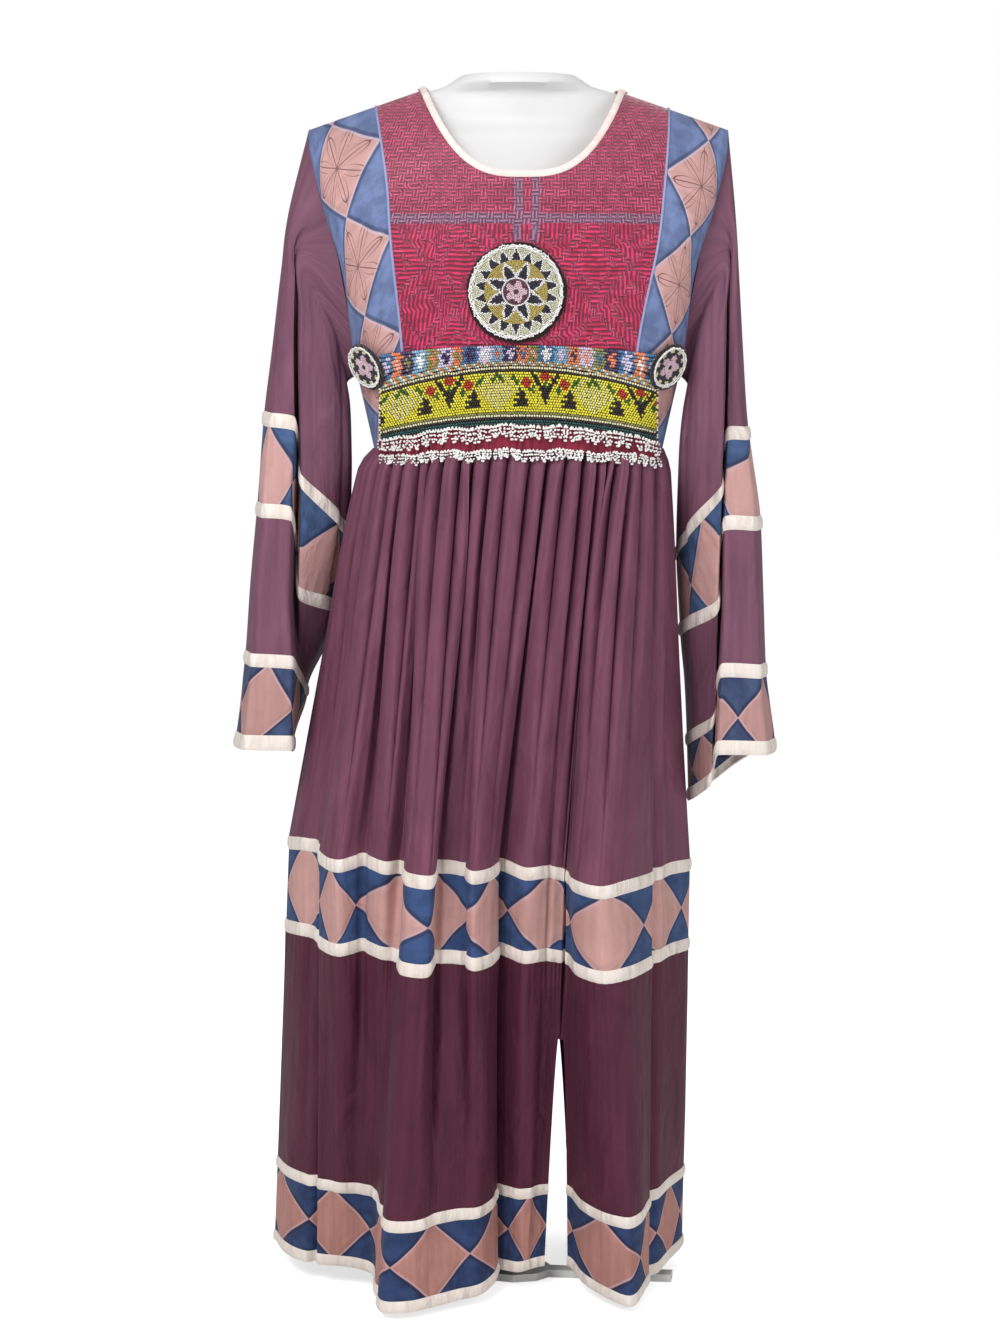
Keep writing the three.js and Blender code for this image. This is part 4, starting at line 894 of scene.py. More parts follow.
def bodice_panel(name, side, left, right, places, rows, out=None, uv=None):
    """A panel between two edges given as turns at each height."""
    places = np.asarray(places)

    def turn_of(z):
        return left(z) + (right(z) - left(z)) * places

    tops = column_tops(side, turn_of)

    def surface(across, down):
        share = 1 - down
        rising = 1 - (1 - share) ** 1.6
        z = WAIST_Z + (tops[None, :] - WAIST_Z) * rising
        turn = left(z) + (right(z) - left(z)) * places[None, :]
        point = bodice_point(side, turn, z)
        return point if side < 0 else point[:, ::-1]

    return cloth(name, len(places) - 1, rows, surface, PANEL_WALL, out=out, uv=uv)


def yoke_left(z):
    return turn_at(along(YOKE_EDGES, "z", z, "left"), z)


def yoke_right(z):
    return turn_at(along(YOKE_EDGES, "z", z, "right"), z)


def neck_xs(count):
    return NECK["x"] - NECK["half"] * np.cos(np.linspace(0, 1, count + 1) * np.pi)


def neck_columns(side, left, right, steps, on_shoulder):
    x = neck_xs(steps)
    z = upper_edge(side, x)
    inside = (turn_at(x, z) - left(z)) / (right(z) - left(z))
    return np.concatenate([np.linspace(0, inside[0], on_shoulder + 1)[:-1], inside,
                           np.linspace(inside[-1], 1, on_shoulder + 1)[1:]])


def level_uv(points, across, down):
    """Across from the middle of the neck, and the true height: the yoke's stitches lie level."""
    length = arc_lengths(points, 1)
    middle = np.abs(points[..., 0] - NECK["x"]).argmin(1)
    start = length[np.arange(len(length)), middle][:, None]
    return length - start, points[..., 2]


def strip_uv(side, lean):
    """Along the strip first, so that its diamonds stand one above the other, each lower at its outer side."""
    def laid(points, across, down):
        beside = across * STRIP_WIDEN - (STRIP_WIDEN - 1 if side < 0 else 0)
        return points[..., 2] + side * lean * (beside - 0.5), beside * 88.0
    return laid


def full_turn(z):
    return np.full(np.shape(z), 90.0) if np.ndim(z) else 90.0


def neck_binding():
    count = 220
    angle = np.linspace(0, 2 * np.pi, count + 1)
    xs = NECK["x"] - NECK["half"] * np.cos(angle)
    sides = np.where(angle <= np.pi, -1, 1)
    zs = np.where(sides < 0, upper_edge(-1, xs), upper_edge(1, xs))
    turns = turn_at(xs, zs)
    points = bodice_point(sides, turns, zs)
    right = bodice_point(sides, turns + 0.5, zs) - bodice_point(sides, turns - 0.5, zs)
    below = bodice_point(sides, turns, zs - 1.6) - bodice_point(sides, turns, zs - 0.6)
    normal = np.cross(below, right) * -sides[:, None]
    normal /= np.linalg.norm(normal, axis=1, keepdims=True)
    tangent = np.roll(points[:-1], -1, 0) - np.roll(points[:-1], 1, 0)
    tangent = np.vstack([tangent, tangent[:1]])
    inward = np.cross(normal, tangent)
    inward /= np.linalg.norm(inward, axis=1, keepdims=True)

    def surface(across, down):
        bulge = 1.3 * rounded(down)
        return (points[None] + inward[None] * (-0.6 + 7 * (1 - down))[..., None]
                + normal[None] * (0.5 + bulge)[..., None])

    piece, _ = cloth("neck_binding_tape", count, 8, surface, 1.6, closed=True)
    return sew(piece, BINDING, ["neck_binding"])


def yoke_piping(label, edge_turn):
    """A narrow cord that covers the seam beside the yoke."""
    top = float(upper_edge(-1, np.array(PIPING_TOPS[label])))

    def surface(across, down):
        z = WAIST_Z + (top - WAIST_Z) * (1 - down)
        turn = edge_turn(z)
        x = bodice_point(-1, turn, z)[..., 0]
        beside = x + (across - 0.5) * PIPING_WIDTH
        return bodice_point(-1, turn_at(beside, z), z)

    def lift(across, down):
        return 0.3 + 1.3 * rounded(across)

    piece, _ = cloth(f"yoke_piping_{label}", 5, 100, surface, 1.0, out=lift)
    return sew(piece, PIPING)


def left_side(z):
    return -full_turn(z)


def bodice():
    columns = neck_columns(-1, yoke_left, yoke_right, 70, 12)
    yoke, cut = bodice_panel("yoke_panel", -1, yoke_left, yoke_right, columns, 80, uv=level_uv)
    sewn_on = [neck_binding(), yoke_piping("left", yoke_left), yoke_piping("right", yoke_right)]
    sew(yoke, YOKE, ["yoke_front"])
    for label, side, middle, lean in (("left", -1, 1.1625, 58), ("right", 1, 1.144, 30)):
        shift = 12.5 * STRIP_PERIOD - middle
        material = patch_cloth(f"side_patchwork_{label}", (216, 168, 164), (106, 122, 164), (206, 188, 204),
                               STRIP_PERIOD, 0.088, shift, petals=1.0)
        left, right = (left_side, yoke_left) if side < 0 else (yoke_right, full_turn)
        panel, cut = bodice_panel(f"side_panel_{label}_cloth", -1, left, right, np.linspace(0, 1, 25), 80,
                                  uv=strip_uv(side, lean))
        sew(panel, material, [f"side_panel_{label}"])
    columns = neck_columns(1, left_side, full_turn, 60, 14)
    back, cut = bodice_panel("back_panel_cloth", 1, left_side, full_turn, columns, 64)
    sew(back, PLUM, ["back_panel"])


bodice()

# The skirt

gather_size = rng.uniform(0.55, 1.35, FRONT_GATHERS)
gather_reach = rng.uniform(0.5, 1.0, FRONT_GATHERS)
gather_lean = rng.uniform(-0.16, 0.16, FRONT_GATHERS)


def gathers(across, down):
    """Rounded pleats with narrow valleys, each with its own depth and length."""
    place = across * FOLDS
    index = np.floor(place).astype(int) % FRONT_GATHERS
    size, reach, lean = gather_size[index], gather_reach[index], gather_lean[index]
    local = place - np.floor(place)
    edge = np.minimum(local, 1 - local)
    next_index = np.where(local < 0.5, index - 1, index + 1) % FRONT_GATHERS
    meeting = np.clip(1 - edge * 2, 0, 1) ** 2 / 2
    size = size * (1 - meeting) + gather_size[next_index] * meeting
    reach = reach * (1 - meeting) + gather_reach[next_index] * meeting
    ridge = 1 - (1 - np.sin(np.pi * local)) ** 2.2 * 1.9
    swell = np.clip(down / 0.05, 0, 1) ** 0.7
    fade = np.clip((1.02 - down) / (1.02 - 0.25 * reach), 0, 1) ** (1.4 - 0.7 * reach)
    fine = np.sin(2 * np.pi * (place * 2.0 + 2.3 * lean)) * np.exp(-down / 0.14) * 1.1
    pleats = (1.6 + 8.6 * size * swell * fade) * ridge * np.clip(fade + 0.12, 0, 1)
    return pleats + fine * swell + tucks(place, down)


def ridges(rows, place, travel, rise, fall, scale=1.0, around=None):
    """Soft ridges and troughs along the cloth, each as wide, high and long as its row says."""
    total = np.zeros(np.shape(place))
    for row in each(rows):
        offset = place - row["place"]
        if around:
            offset = (offset + around / 2) % around - around / 2
        reach = np.clip((travel - row["start"]) / rise, 0, 1) * np.clip((row["end"] - travel) / fall, 0, 1)
        total += scale * row["out"] * np.exp(-((offset / row["width"]) ** 2)) * reach
    return total


RIDGE = ("place", "width", "out", "start", "end")

# Narrow tucks that run down the skirt: place and width in folds, height out of the cloth, and start and end,
# counted from 0 at the waist by 1 at the middle trim to 2 at the hem
TUCKS = table(RIDGE, [
    (2.6, 0.13, -8, 0.35, 2.2), (5.0, 0.16, -5, 0.2, 1.5), (7.3, 0.13, -8, 0.3, 2.2),
    (10.0, 0.15, -7, 0.25, 1.7), (11.3, 0.12, -7, 0.3, 1.6), (13.9, 0.11, -11, 0.1, 2.2),
    (16.2, 0.13, -4, 0.3, 1.3),
    (17.5, 0.11, -9, 0.2, 1.42), (22.3, 0.14, -7, 0.3, 2.2), (26.4, 0.16, -6, 0.3, 1.6),
    (30.5, 0.16, -6, 0.3, 1.9), (34.5, 0.16, -6, 0.3, 1.9), (37.4, 0.14, -7, 0.3, 2.2),
])
TUCK_DEPTH = 1.25

# Soft creases of the lower tier: place and width in folds, height out of the cloth, and start and end
TIER_CREASES = table(RIDGE, [
    (1.6, 0.35, 3, 0.0, 0.7), (3.4, 0.3, -2.5, 0.1, 1.0), (4.5, 0.3, 3, 0.0, 0.5), (5.6, 0.25, -3, 0.2, 1.0),
    (7.5, 0.25, 2.5, 0.0, 0.6), (8.6, 0.3, -2, 0.0, 0.45), (9.6, 0.35, 2.5, 0.3, 1.0),
    (11.3, 0.3, -2, 0.0, 0.8), (12.5, 0.3, 3, 0.1, 0.7), (13.5, 0.3, -2.5, 0.0, 0.9),
    (15.6, 0.3, 3, 0.1, 1.0), (19.5, 0.3, 2.5, 0.0, 0.55),
    (20.6, 0.35, -2.5, 0.1, 0.9), (21.5, 0.3, 2.5, 0.3, 1.0), (22.5, 0.3, -2.5, 0.0, 0.5),
    (23.5, 0.3, 3, 0.0, 0.8), (25.5, 0.35, 3, 0.1, 0.9), (27.4, 0.3, -3, 0.0, 0.6), (31.6, 0.35, 3, 0.1, 1.0),
    (33.5, 0.3, -2.5, 0.0, 0.7), (35.4, 0.35, 3, 0.2, 1.0), (37.6, 0.3, -2.5, 0.0, 0.8),
])


def tucks(place, travel):
    return ridges(TUCKS, place, travel, 0.4, 0.15, TUCK_DEPTH, FOLDS)


def tier_creases(place, down):
    puckers = np.sin(2 * np.pi * place * 3.5 + 1.7 * np.sin(place)) * np.exp(-np.maximum(down, 0) / 0.07)
    return ridges(TIER_CREASES, place, down, 0.15, 0.25, around=FOLDS) + 0.7 * puckers


def skirt_ring(name, top, bottom, rows, wall=CLOTH_WALL, out=0.0, bulge=0.0, span=None, creases=0.0,
               open_vents=False, marks=None, around=None):
    """A strip round the skirt below the middle trim, or over a span of its folds."""
    first, last = span or (0, FOLDS)
    columns = round((last - first) * COLUMNS_PER_FOLD)
    tier_top, hem = LEVELS["tier_top"], LEVELS["hem"]

    def place_of(across):
        return first + (last - first) * across

    def surface(across, down):
        return lower_skirt(place_of(across), top + (bottom - top) * down)

    def lift(across, down):
        place = place_of(across)
        level = (top + (bottom - top) * down - tier_top) / (hem - tier_top)
        travel = 1 + top + (bottom - top) * down
        return out + bulge * rounded(down) + creases * tier_creases(place, level) + tucks(place, travel)

    def open_below(across, z):
        place = place_of(across)
        gone = np.zeros(np.shape(place), bool)
        for vent in VENTS:
            gone |= (place > vent["first"]) & (place < vent["first"] + 1) & (z < vent["tip"])
        return gone

    uv = pieced(marks, place_of, around) if marks else None
    return cloth(name, columns, rows, surface, wall, closed=span is None, out=lift, uv=uv,
                 cut_away=open_below if open_vents else None)


# Where the corners of the patches meet along the bands: folds round from the left side, and patches counted
MIDDLE_MARKS = [
    (2.92, 0), (4.72, 1), (9.0, 2), (11.34, 3), (14.22, 4), (18.32, 5), (21.69, 6), (23.5, 7), (39.6, 15),
]
HEM_MARKS = {
    "left": [(-2.4, -1), (2.4, 0), (5.6, 1), (8.24, 2), (11.61, 3), (14.4, 4), (17.0, 5)],
    "right": [(18.3, 0), (21.45, 1), (22.5, 2)],
}


def skirt_tape(name, top, bottom, **shape):
    tape, _ = skirt_ring(f"{name}_tape", LEVELS[top], LEVELS[bottom], TAPE_ROWS, TAPE_WALL, 0.4, TRIM_BULGE,
                         **shape)
    return sew(tape, TAPE, [name])


def skirt_band(name, material, top, bottom, tapes, marks, **shape):
    band, cut = skirt_ring(f"{name}_cloth", LEVELS[top] - BAND_LAP, LEVELS[bottom] + BAND_LAP, BAND_ROWS,
                           marks=marks, **shape)
    sew(band, material, [name])


def skirt():
    upper, cut = cloth("upper_skirt_cloth", FOLDS * 16, 36,
                       lambda across, down: upper_skirt(across * FOLDS, down * 1.012), CLOTH_WALL,
                       closed=True, out=gathers)
    sew(upper, PLUM, ["skirt_upper"])
    tapes = [skirt_tape("middle_trim_upper", "trim_top", "band_top"),
             skirt_tape("middle_trim_lower", "band_bottom", "tier_top")]
    middle = patch_cloth("middle_patchwork", (212, 164, 158), (52, 74, 118), PALE_SEAM, PATCH_PERIOD * MM,
                         0.0885)
    skirt_band("middle_band", middle, "band_top", "band_bottom", tapes, MIDDLE_MARKS, around=16)
    lower, cut = skirt_ring("lower_tier_cloth", LEVELS["tier_top"] - TIER_LAP,
                            LEVELS["hem_trim_top"] + TIER_LAP, 26, creases=1.0, open_vents=True)
    # The lower tier wears the darker plum: painted shade towards the hem.
    sew(lower, LOWER_PLUM_PAINTED_SHADE, ["skirt_lower"])
    hem = patch_cloth("hem_patchwork", (198, 142, 132), (42, 60, 100), PALE_SEAM, PATCH_PERIOD * MM, 0.082,
                      cross=0.2)
    spans = {"left": (VENTS[1]["first"] + 1 - FOLDS, VENTS[0]["first"]),
             "right": (VENTS[0]["first"] + 1, VENTS[1]["first"])}
    for label, span in spans.items():
        shape = {"span": span, "creases": 1.0}
        tapes = [skirt_tape(f"hem_trim_upper_{label}", "hem_trim_top", "hem_band_top", **shape),
                 skirt_tape(f"hem_trim_lower_{label}", "hem_band_bottom", "hem", **shape)]
        skirt_band(f"hem_band_{label}", hem, "hem_band_top", "hem_band_bottom", tapes, HEM_MARKS[label],
                   **shape)


skirt()

# The sleeves


def sleeve_rings(side, rings):
    """Ten guide points for each ring, from the armhole to the cuff."""
    middle = (UNDERARM_Z + SHOULDER_TIP_Z) / 2
    reach = (SHOULDER_TIP_Z - UNDERARM_Z) / 2
    angle = np.radians([0, 34, 68, 92, 118, 150, 180, 220, 270, 318])
    z = middle + reach * np.cos(angle)
    x = along(BODICE, "z", z, "half") + 0.4
    made = [np.stack([side * x, -ARMHOLE_DEPTH * np.sin(angle), z], 1)]
    for row in each(rings):
        strip, lobe = row["outer"] - row["fold"], row["fold"] - row["inner"]
        width = row["outer"] - row["inner"]
        centre = (row["front"] + row["back"]) / 2
        points = [
            (row["outer"], centre * 0.4, 0),
            (row["outer"] - strip * 0.22, row["front"] * 0.8, row["strip_drop"] * 0.3),
            (row["fold"] + CLEFT["strip"], row["front"], row["strip_drop"]),
            (row["fold"], row["valley"], (row["strip_drop"] + row["lobe_drop"]) / 2),
            (max(row["fold"] - CLEFT["lobe"], row["inner"]), row["lobe"], row["lobe_drop"]),
            (row["inner"] + lobe * 0.14, row["lobe"] * 0.55 + row["inside"] * 0.45,
             row["lobe_drop"] * 0.35 + row["inner_drop"] * 0.65),
            (row["inner"], row["inside"], row["inner_drop"]),
            (row["inner"] + width * 0.28, row["back"] * 0.97, row["inner_drop"] * 0.75),
            (row["inner"] + width * 0.6, row["back"], row["inner_drop"] * 0.4),
            (row["inner"] + width * 0.88, row["back"] * 0.72 + centre * 0.28, row["inner_drop"] * 0.1),
        ]
        made.append(np.array([(side * x_out, y, row["z"] - drop) for x_out, y, drop in points]))
    return made


# Soft folds down the sleeves: place, width, height out of the cloth, first and last ring
SLEEVE_CREASES = table(RIDGE, [
    (0.9, 0.22, -2.5, 0.5, 4.6), (1.5, 0.2, 2.2, 0.3, 3.8), (2.35, 0.16, -2.5, 0.4, 4.4),
    (4.6, 0.25, 2.5, 0.6, 5.0), (5.1, 0.2, -2.5, 1.0, 6.5), (7.3, 0.3, 3, 0.6, 6.0), (8.4, 0.3, -3, 0.5, 8.0),
    (9.3, 0.25, 2.4, 1.0, 7.0), (1.1, 0.25, 2, 7.2, 11.5), (4.3, 0.25, -1.5, 6.5, 9.6),
    (7.9, 0.3, 2.5, 8.0, 12.0),
])
SLEEVE_CREASE_HEIGHT = 1.5
SLEEVE_COLUMN_COUNT = 130


# For each band the patches around, and where their corners meet, in guide points from the outer side
SLEEVE_MARKS = {
    "left": {"elbow": (6, [(2.2, 0), (4.1, 1)]), "cuff": (6, [(0.35, 0), (2.15, 1), (4.2, 2)])},
    "right": {"elbow": (6, [(2.5, 0), (3.6, 1), (4.9, 2), (9.0, 5)]), "cuff": (6, [(1.55, 0)])},
}
PATCH_LEANS = {"left": (0.0, 0.026), "right": (-0.018, 0.0)}


def build_sleeve(label, side, rings):
    guide = sleeve_rings(side, rings)
    steps = [np.linalg.norm((lower - upper).mean(0)) for upper, lower in zip(guide, guide[1:])]
    keys = np.concatenate([[0], np.cumsum(steps)])
    numbers = np.arange(len(keys))

    def from_outer(across):
        return across if side < 0 else 1 - across

    def place_of(across):
        return from_outer(across) * SLEEVE_CONTROLS

    def part(name, first, last, rows, wall=CLOTH_WALL, out=0.0, bulge=0.0, lap=0.0, marks=None):
        """A stretch of the sleeve between two rings, which may lap under its neighbours."""
        start, end = np.interp((first, last), numbers, keys) + (-lap, lap)
        top = max(start, 0)

        def surface(across, down):
            circles = [ring_curve(knots, from_outer(across)[0], SLEEVE_ROUNDNESS) for knots in guide]
            return np.array([through(keys, circles, top + (end - top) * level) for level in down[:, 0]])

        def lift(across, down):
            ring = np.interp(start + (end - start) * down, keys, numbers)
            folds = ridges(SLEEVE_CREASES, place_of(across), ring, 0.8, 0.8)
            return out + bulge * rounded(down) + SLEEVE_CREASE_HEIGHT * folds

        uv = pieced(marks[1], place_of, marks[0]) if marks else None
        return cloth(f"sleeve_{label}_{name}", SLEEVE_COLUMN_COUNT, rows, surface, wall, closed=True,
                     out=lift, uv=uv)

    def tape(number, first, last):
        made, _ = part(f"tape_{number}", first, last, TAPE_ROWS, TAPE_WALL, 0.5, TRIM_BULGE)
        return sew(made, TAPE, [f"sleeve_{label}_trim_{number}"])

    def sleeve_cloth(name, node_name, first, last, rows, material, slot, tapes, **shape):
        made, cut = part(f"{name}_cloth", first, last, rows, **shape)
        sew(made, material, [f"sleeve_{label}_{node_name}"])

    def patchwork(name, pink, blue, tall, lean):
        return patch_cloth(f"{name}_patchwork_{label}", pink, blue, PALE_SEAM, PATCH_PERIOD * MM, tall,
                           lean=lean)

    elbow_lean, cuff_lean = PATCH_LEANS[label]
    marks = SLEEVE_MARKS[label]
    tapes = [tape(number, *ends) for number, ends in enumerate(((4, 5), (6, 7), (9, 10), (11, 12)), 1)]
    sleeve_cloth("upper", "upper", 0, 4.3, 46, SLEEVE_PLUM, "plum", tapes[:1])
    elbow = patchwork("elbow", (216, 168, 164), (66, 88, 128), 0.11, elbow_lean)
    sleeve_cloth("elbow", "elbow_band", 5, 6, 14, elbow, "patch", tapes[1:2], lap=4, marks=marks["elbow"])
    sleeve_cloth("lower", "lower", 7, 9, 24, SLEEVE_PLUM, "plum", tapes[2:3], lap=3)
    cuff = patchwork("cuff", (198, 152, 148), (60, 74, 108), 0.078, cuff_lean)
    sleeve_cloth("cuff", "cuff_band", 10, 11, BAND_ROWS, cuff, "patch", tapes[3:], lap=3, marks=marks["cuff"])


for label, (side, rings) in SLEEVES.items():
    build_sleeve(label, side, rings)

# Beads: one shape repeated, each bead with its own colour

BEAD_COLOURS = {name: paint(*colour) for name, colour in {
    "Y": (246, 236, 62), "K": (38, 26, 26), "R": (204, 62, 34), "G": (58, 112, 42),
    "C": (240, 234, 196), "W": (253, 252, 250), "T": (40, 92, 92), "B": (64, 118, 168), "b": (132, 178, 208),
    "O": (236, 140, 96), "P": (240, 176, 160), "V": (66, 44, 96), "L": (224, 212, 238), "g": (148, 146, 84),
    "N": (46, 40, 62), "D": (200, 180, 100), "E": (224, 224, 198), "M": (112, 62, 84), "F": (238, 208, 220),
}.items()}


def bead_shape(segments, rings):
    """One round bead of unit size, its hole along X."""
    deselect()
    bpy.ops.mesh.primitive_uv_sphere_add(segments=segments, ring_count=rings, radius=0.5)
    bead = bpy.context.object
    bpy.ops.object.mode_set(mode="EDIT")
    bpy.ops.mesh.select_all(action="SELECT")
    bpy.ops.transform.rotate(value=math.pi / 2, orient_axis="Y", center_override=(0, 0, 0))
    bpy.ops.transform.resize(value=(0.8, 1, 1), center_override=(0, 0, 0))
    bpy.ops.object.mode_set(mode="OBJECT")
    points = np.array([tuple(vertex.co) for vertex in bead.data.vertices])
    faces = [tuple(face.vertices) for face in bead.data.polygons]
    bpy.data.objects.remove(bead)
    return points, faces


BEAD = bead_shape(6, 4)


def beadwork(name, spots, normals, alongs, sizes, colours):
    """Copies of the bead at the spots, given in millimetres, joined as one piece."""
    shape, faces = BEAD
    spots, normals, alongs = (np.asarray(values, float) for values in (spots, normals, alongs))
    sizes = np.broadcast_to(np.asarray(sizes, float), len(spots))
    normals = normals / np.linalg.norm(normals, axis=1, keepdims=True)
    alongs = alongs - normals * (alongs * normals).sum(1, keepdims=True)
    alongs = alongs / np.linalg.norm(alongs, axis=1, keepdims=True)
    thirds = np.cross(normals, alongs)
    frames = np.stack([alongs, thirds, normals], axis=1)
    points = spots[:, None] + sizes[:, None, None] * np.einsum("vk,nkc->nvc", shape, frames)
    joined = [tuple(np.add(face, number * len(shape))) for number in range(len(spots)) for face in faces]
    mesh = bpy.data.meshes.new(name)
    mesh.from_pydata((points.reshape(-1, 3) * MM).tolist(), [], joined)
    shade = mesh.color_attributes.new("shade", "FLOAT_COLOR", "POINT")
    tones = np.array([BEAD_COLOURS[colour] for colour in colours])
    tones[:, :3] *= rng.uniform(0.86, 1.08, (len(tones), 1))
    shade.data.foreach_set("color", np.repeat(tones, len(shape), axis=0).ravel())
    mesh.update()
    piece = bpy.data.objects.new(name, mesh)
    bpy.context.collection.objects.link(piece)
    mesh.shade_smooth()
    return sew(piece, BEADS)


# The belt

# Each has its height and its sag at the top and at the bottom, how far out it lies, and its thickness
STRIP = {"top": (984, 8), "bottom": (964, 23), "out": 2.4, "wall": 1.8}
BAND = {"top": (963.4, 23), "bottom": (905, 16), "out": 3.6, "wall": 2.6}
FRILL = {"top": (904.7, 16), "bottom": (878.5, 10), "out": 6.2, "wall": 1.0}
BEAD_PITCH = 2.5
V_CENTRE = 26
STRIP_PITCH = 2.3
STRIP_ROWS = 9
# Half of the band's repeat, charted from the pale patch at the left to the middle of the V at the right
BAND_CHART = [
    "GYWYYYYYYYYYYYKYYYRR", "GGYWYYGYYYYYYYKKYRRR", "YGGYWYGGYYYRRYYKKYRR", "WYGYYWYGGYRRRRYKKYYG",
    "YWYWYYWYGYRRRRYYKKYG", "WYWYWYYWYYYRRYGYYKKG", "YWYWYWYYWKYYYGGYYKKK", "WYWYWYWYYKKYYYGYYYKK",
    "YWYWYWYYKKKKYYYYYYKK", "WYWYWYYYYKKYYYYYYYKK", "YWYWYYYKKKKKKYYYYYYK", "WYWYYYYYKKKKYYYYYYYK",
    "YWYYYYYKKKKKKYYYYYYY", "WYYYYYYYYYYYYYYYYYYY", "YYYYYYYYYYYYYYYYYYYY",
]
# The strip's blocks from the left: ground, figure and width in beads
STRIP_BLOCKS = (
    "BL6 OP4 Vg5 bW6 gO5 LV6 Og4 BV7 LW6 bO5 VL6 OB5 gP4 BW7 bL6 OV5 LP6 gB5 VO6 BL7 OW5"
).split()


def belt_frame(x, level, drop, out):
    """Spots on the belt, with the directions out of it and along it."""
    x, level = np.broadcast_arrays(np.asarray(x, float), np.asarray(level, float))

    def surface(places, down):
        z = level - down - drop * (places / BELT_HALF) ** 2
        return bodice_point(-1, turn_at(places, z), z)

    middle = surface(x, 0)
    right = surface(x + 0.5, 0) - surface(x - 0.5, 0)
    below = surface(x, 0.5) - surface(x, -0.5)
    normal = np.cross(below, right)
    normal /= np.linalg.norm(normal, axis=-1, keepdims=True)
    return middle + normal * np.asarray(out, float)[..., None], normal, right


def belt_cloth(name, material, nodes, strip, columns, rows, wave=None):
    (top, top_drop), (bottom, bottom_drop) = strip["top"], strip["bottom"]

    def surface(across, down):
        x = (2 * across - 1) * BELT_HALF
        drop = top_drop + (bottom_drop - top_drop) * down
        stand = np.full(x.shape, float(strip["out"])) + (wave(x, down) if wave else 0)
        return belt_frame(x, top + (bottom - top) * down, drop, stand)[0]

    piece, cut = cloth(name, columns, rows, surface, strip["wall"])
    return sew(piece, material, nodes)


def bead_grid(strip, rows, pitch):
    """Rows of beads on a strip of the belt: places across, then each bead's height, drop and place."""
    columns = int(2 * BELT_HALF // pitch)
    xs = (np.arange(columns) - (columns - 1) / 2) * pitch
    down = (np.arange(rows) + 0.5) / rows
    (top, top_drop), (bottom, bottom_drop) = strip["top"], strip["bottom"]
    levels = np.repeat(top + (bottom - top) * down, columns)
    drops = np.repeat(top_drop + (bottom_drop - top_drop) * down, columns)
    shifts = (np.arange(rows) % 2 - 0.5) * pitch / 2
    return xs, (levels, drops, (xs + shifts[:, None]).ravel())


def band_beads():
    rows = ["C", "K", *BAND_CHART, "g", "C", "K", "T", "T"]
    xs, grid = bead_grid(BAND, len(rows), BEAD_PITCH)
    half = len(BAND_CHART[0]) - 1
    step = np.rint((xs - V_CENTRE) / BEAD_PITCH).astype(int)
    from_v = np.abs((step + half) % (2 * half) - half)
    tones = [row[half - near] if len(row) > 1 else row for row in rows for near in from_v]
    return *grid, ["C" if tone == "W" else tone for tone in tones]


def strip_beads():
    """Small beads in blocks of colour, each with a figure in it; the rows are taller at the strip's ends."""
    xs, grid = bead_grid(STRIP, STRIP_ROWS, STRIP_PITCH)
    tones = []
    for number in range(STRIP_ROWS):
        row = []
        for ground, figure, width in STRIP_BLOCKS:
            middle = (int(width) - 1) / 2
            row += [figure if abs(bead - middle) + abs(number - 3) * 0.7 < middle * 0.8 else ground
                    for bead in range(int(width))]
        if number >= STRIP_ROWS - 2:
            row = ["gOCb"[(bead * 7 + number) % 4] for bead in range(len(xs))]
        shift = int(rng.integers(0, 2))
        tones += [row[(column + shift) % len(row)] for column in range(len(xs))]
    return *grid, tones


def strip_sizes(x):
    """The beads are as large as the strip's height gives room for."""
    spread = (STRIP["bottom"][1] - STRIP["top"][1]) * (x / BELT_HALF) ** 2
    return 1.2 * (STRIP["top"][0] - STRIP["bottom"][0] + spread) / STRIP_ROWS


def lay_beads(name, chart, out, size):
    level, drops, places, tones = chart
    jitter = rng.normal(0, 0.12, (len(places), 2))
    spots, normals, alongs = belt_frame(places + jitter[:, 0], level + jitter[:, 1], drops,
                                        np.full(len(places), float(out)))
    normals = normals + rng.normal(0, 0.08, normals.shape)
    beadwork(name, spots, normals, alongs, size, tones)


def bead_fringe(name, top, hang, out, wander, loops, node):
    """Short loops of white beads that hang close together in a wavy row."""
    spots, normals, alongs = [], [], []
    for number in range(loops):
        x = (2 * (number + 0.5) / loops - 1) * (BELT_HALF - 2) + rng.normal(0, 0.8)
        wave = wander * (math.sin(x / 9.5) + 0.7 * math.sin(x / 4.1 + 1.3)) / 2
        length = hang * rng.uniform(0.75, 1.2)
        width = rng.uniform(2.2, 4.4)
        lean = rng.normal(0, 0.45)
        lift = rng.uniform(0, 2.4)
        count = 9
        for bead in range(count):
            angle = math.pi * 2 * bead / count
            down = length * (1 - math.cos(angle)) / 2
            side = width * math.sin(angle) / 2 + lean * down * 0.4
            spot, normal, along_x = belt_frame(np.array([x + side]), np.array([top[0] - wave - down]), top[1],
                                               np.array([out + lift * math.sin(angle / 2) + wave * 0.25]))
            turn = rng.uniform(-0.5, 0.5, 3)
            spots.append(spot[0])
            normals.append(normal[0] + turn * 0.6)
            alongs.append(along_x[0] * math.cos(angle) + np.array([0, 0, math.sin(angle)]) + turn * 0.3)
    piece = beadwork(name, spots, normals, alongs, rng.uniform(2.3, 2.9, len(spots)), ["W"] * len(spots))
    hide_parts(node)
    return piece


def frill_wave(x, down):
    return ((0.25 + 0.75 * down) * (1.1 * np.sin(x / 1.25 + 1.2 * np.sin(x / 7)) + 0.6 * np.sin(x / 0.73))
            + 0.8 * down * np.sin(x / 6.3))


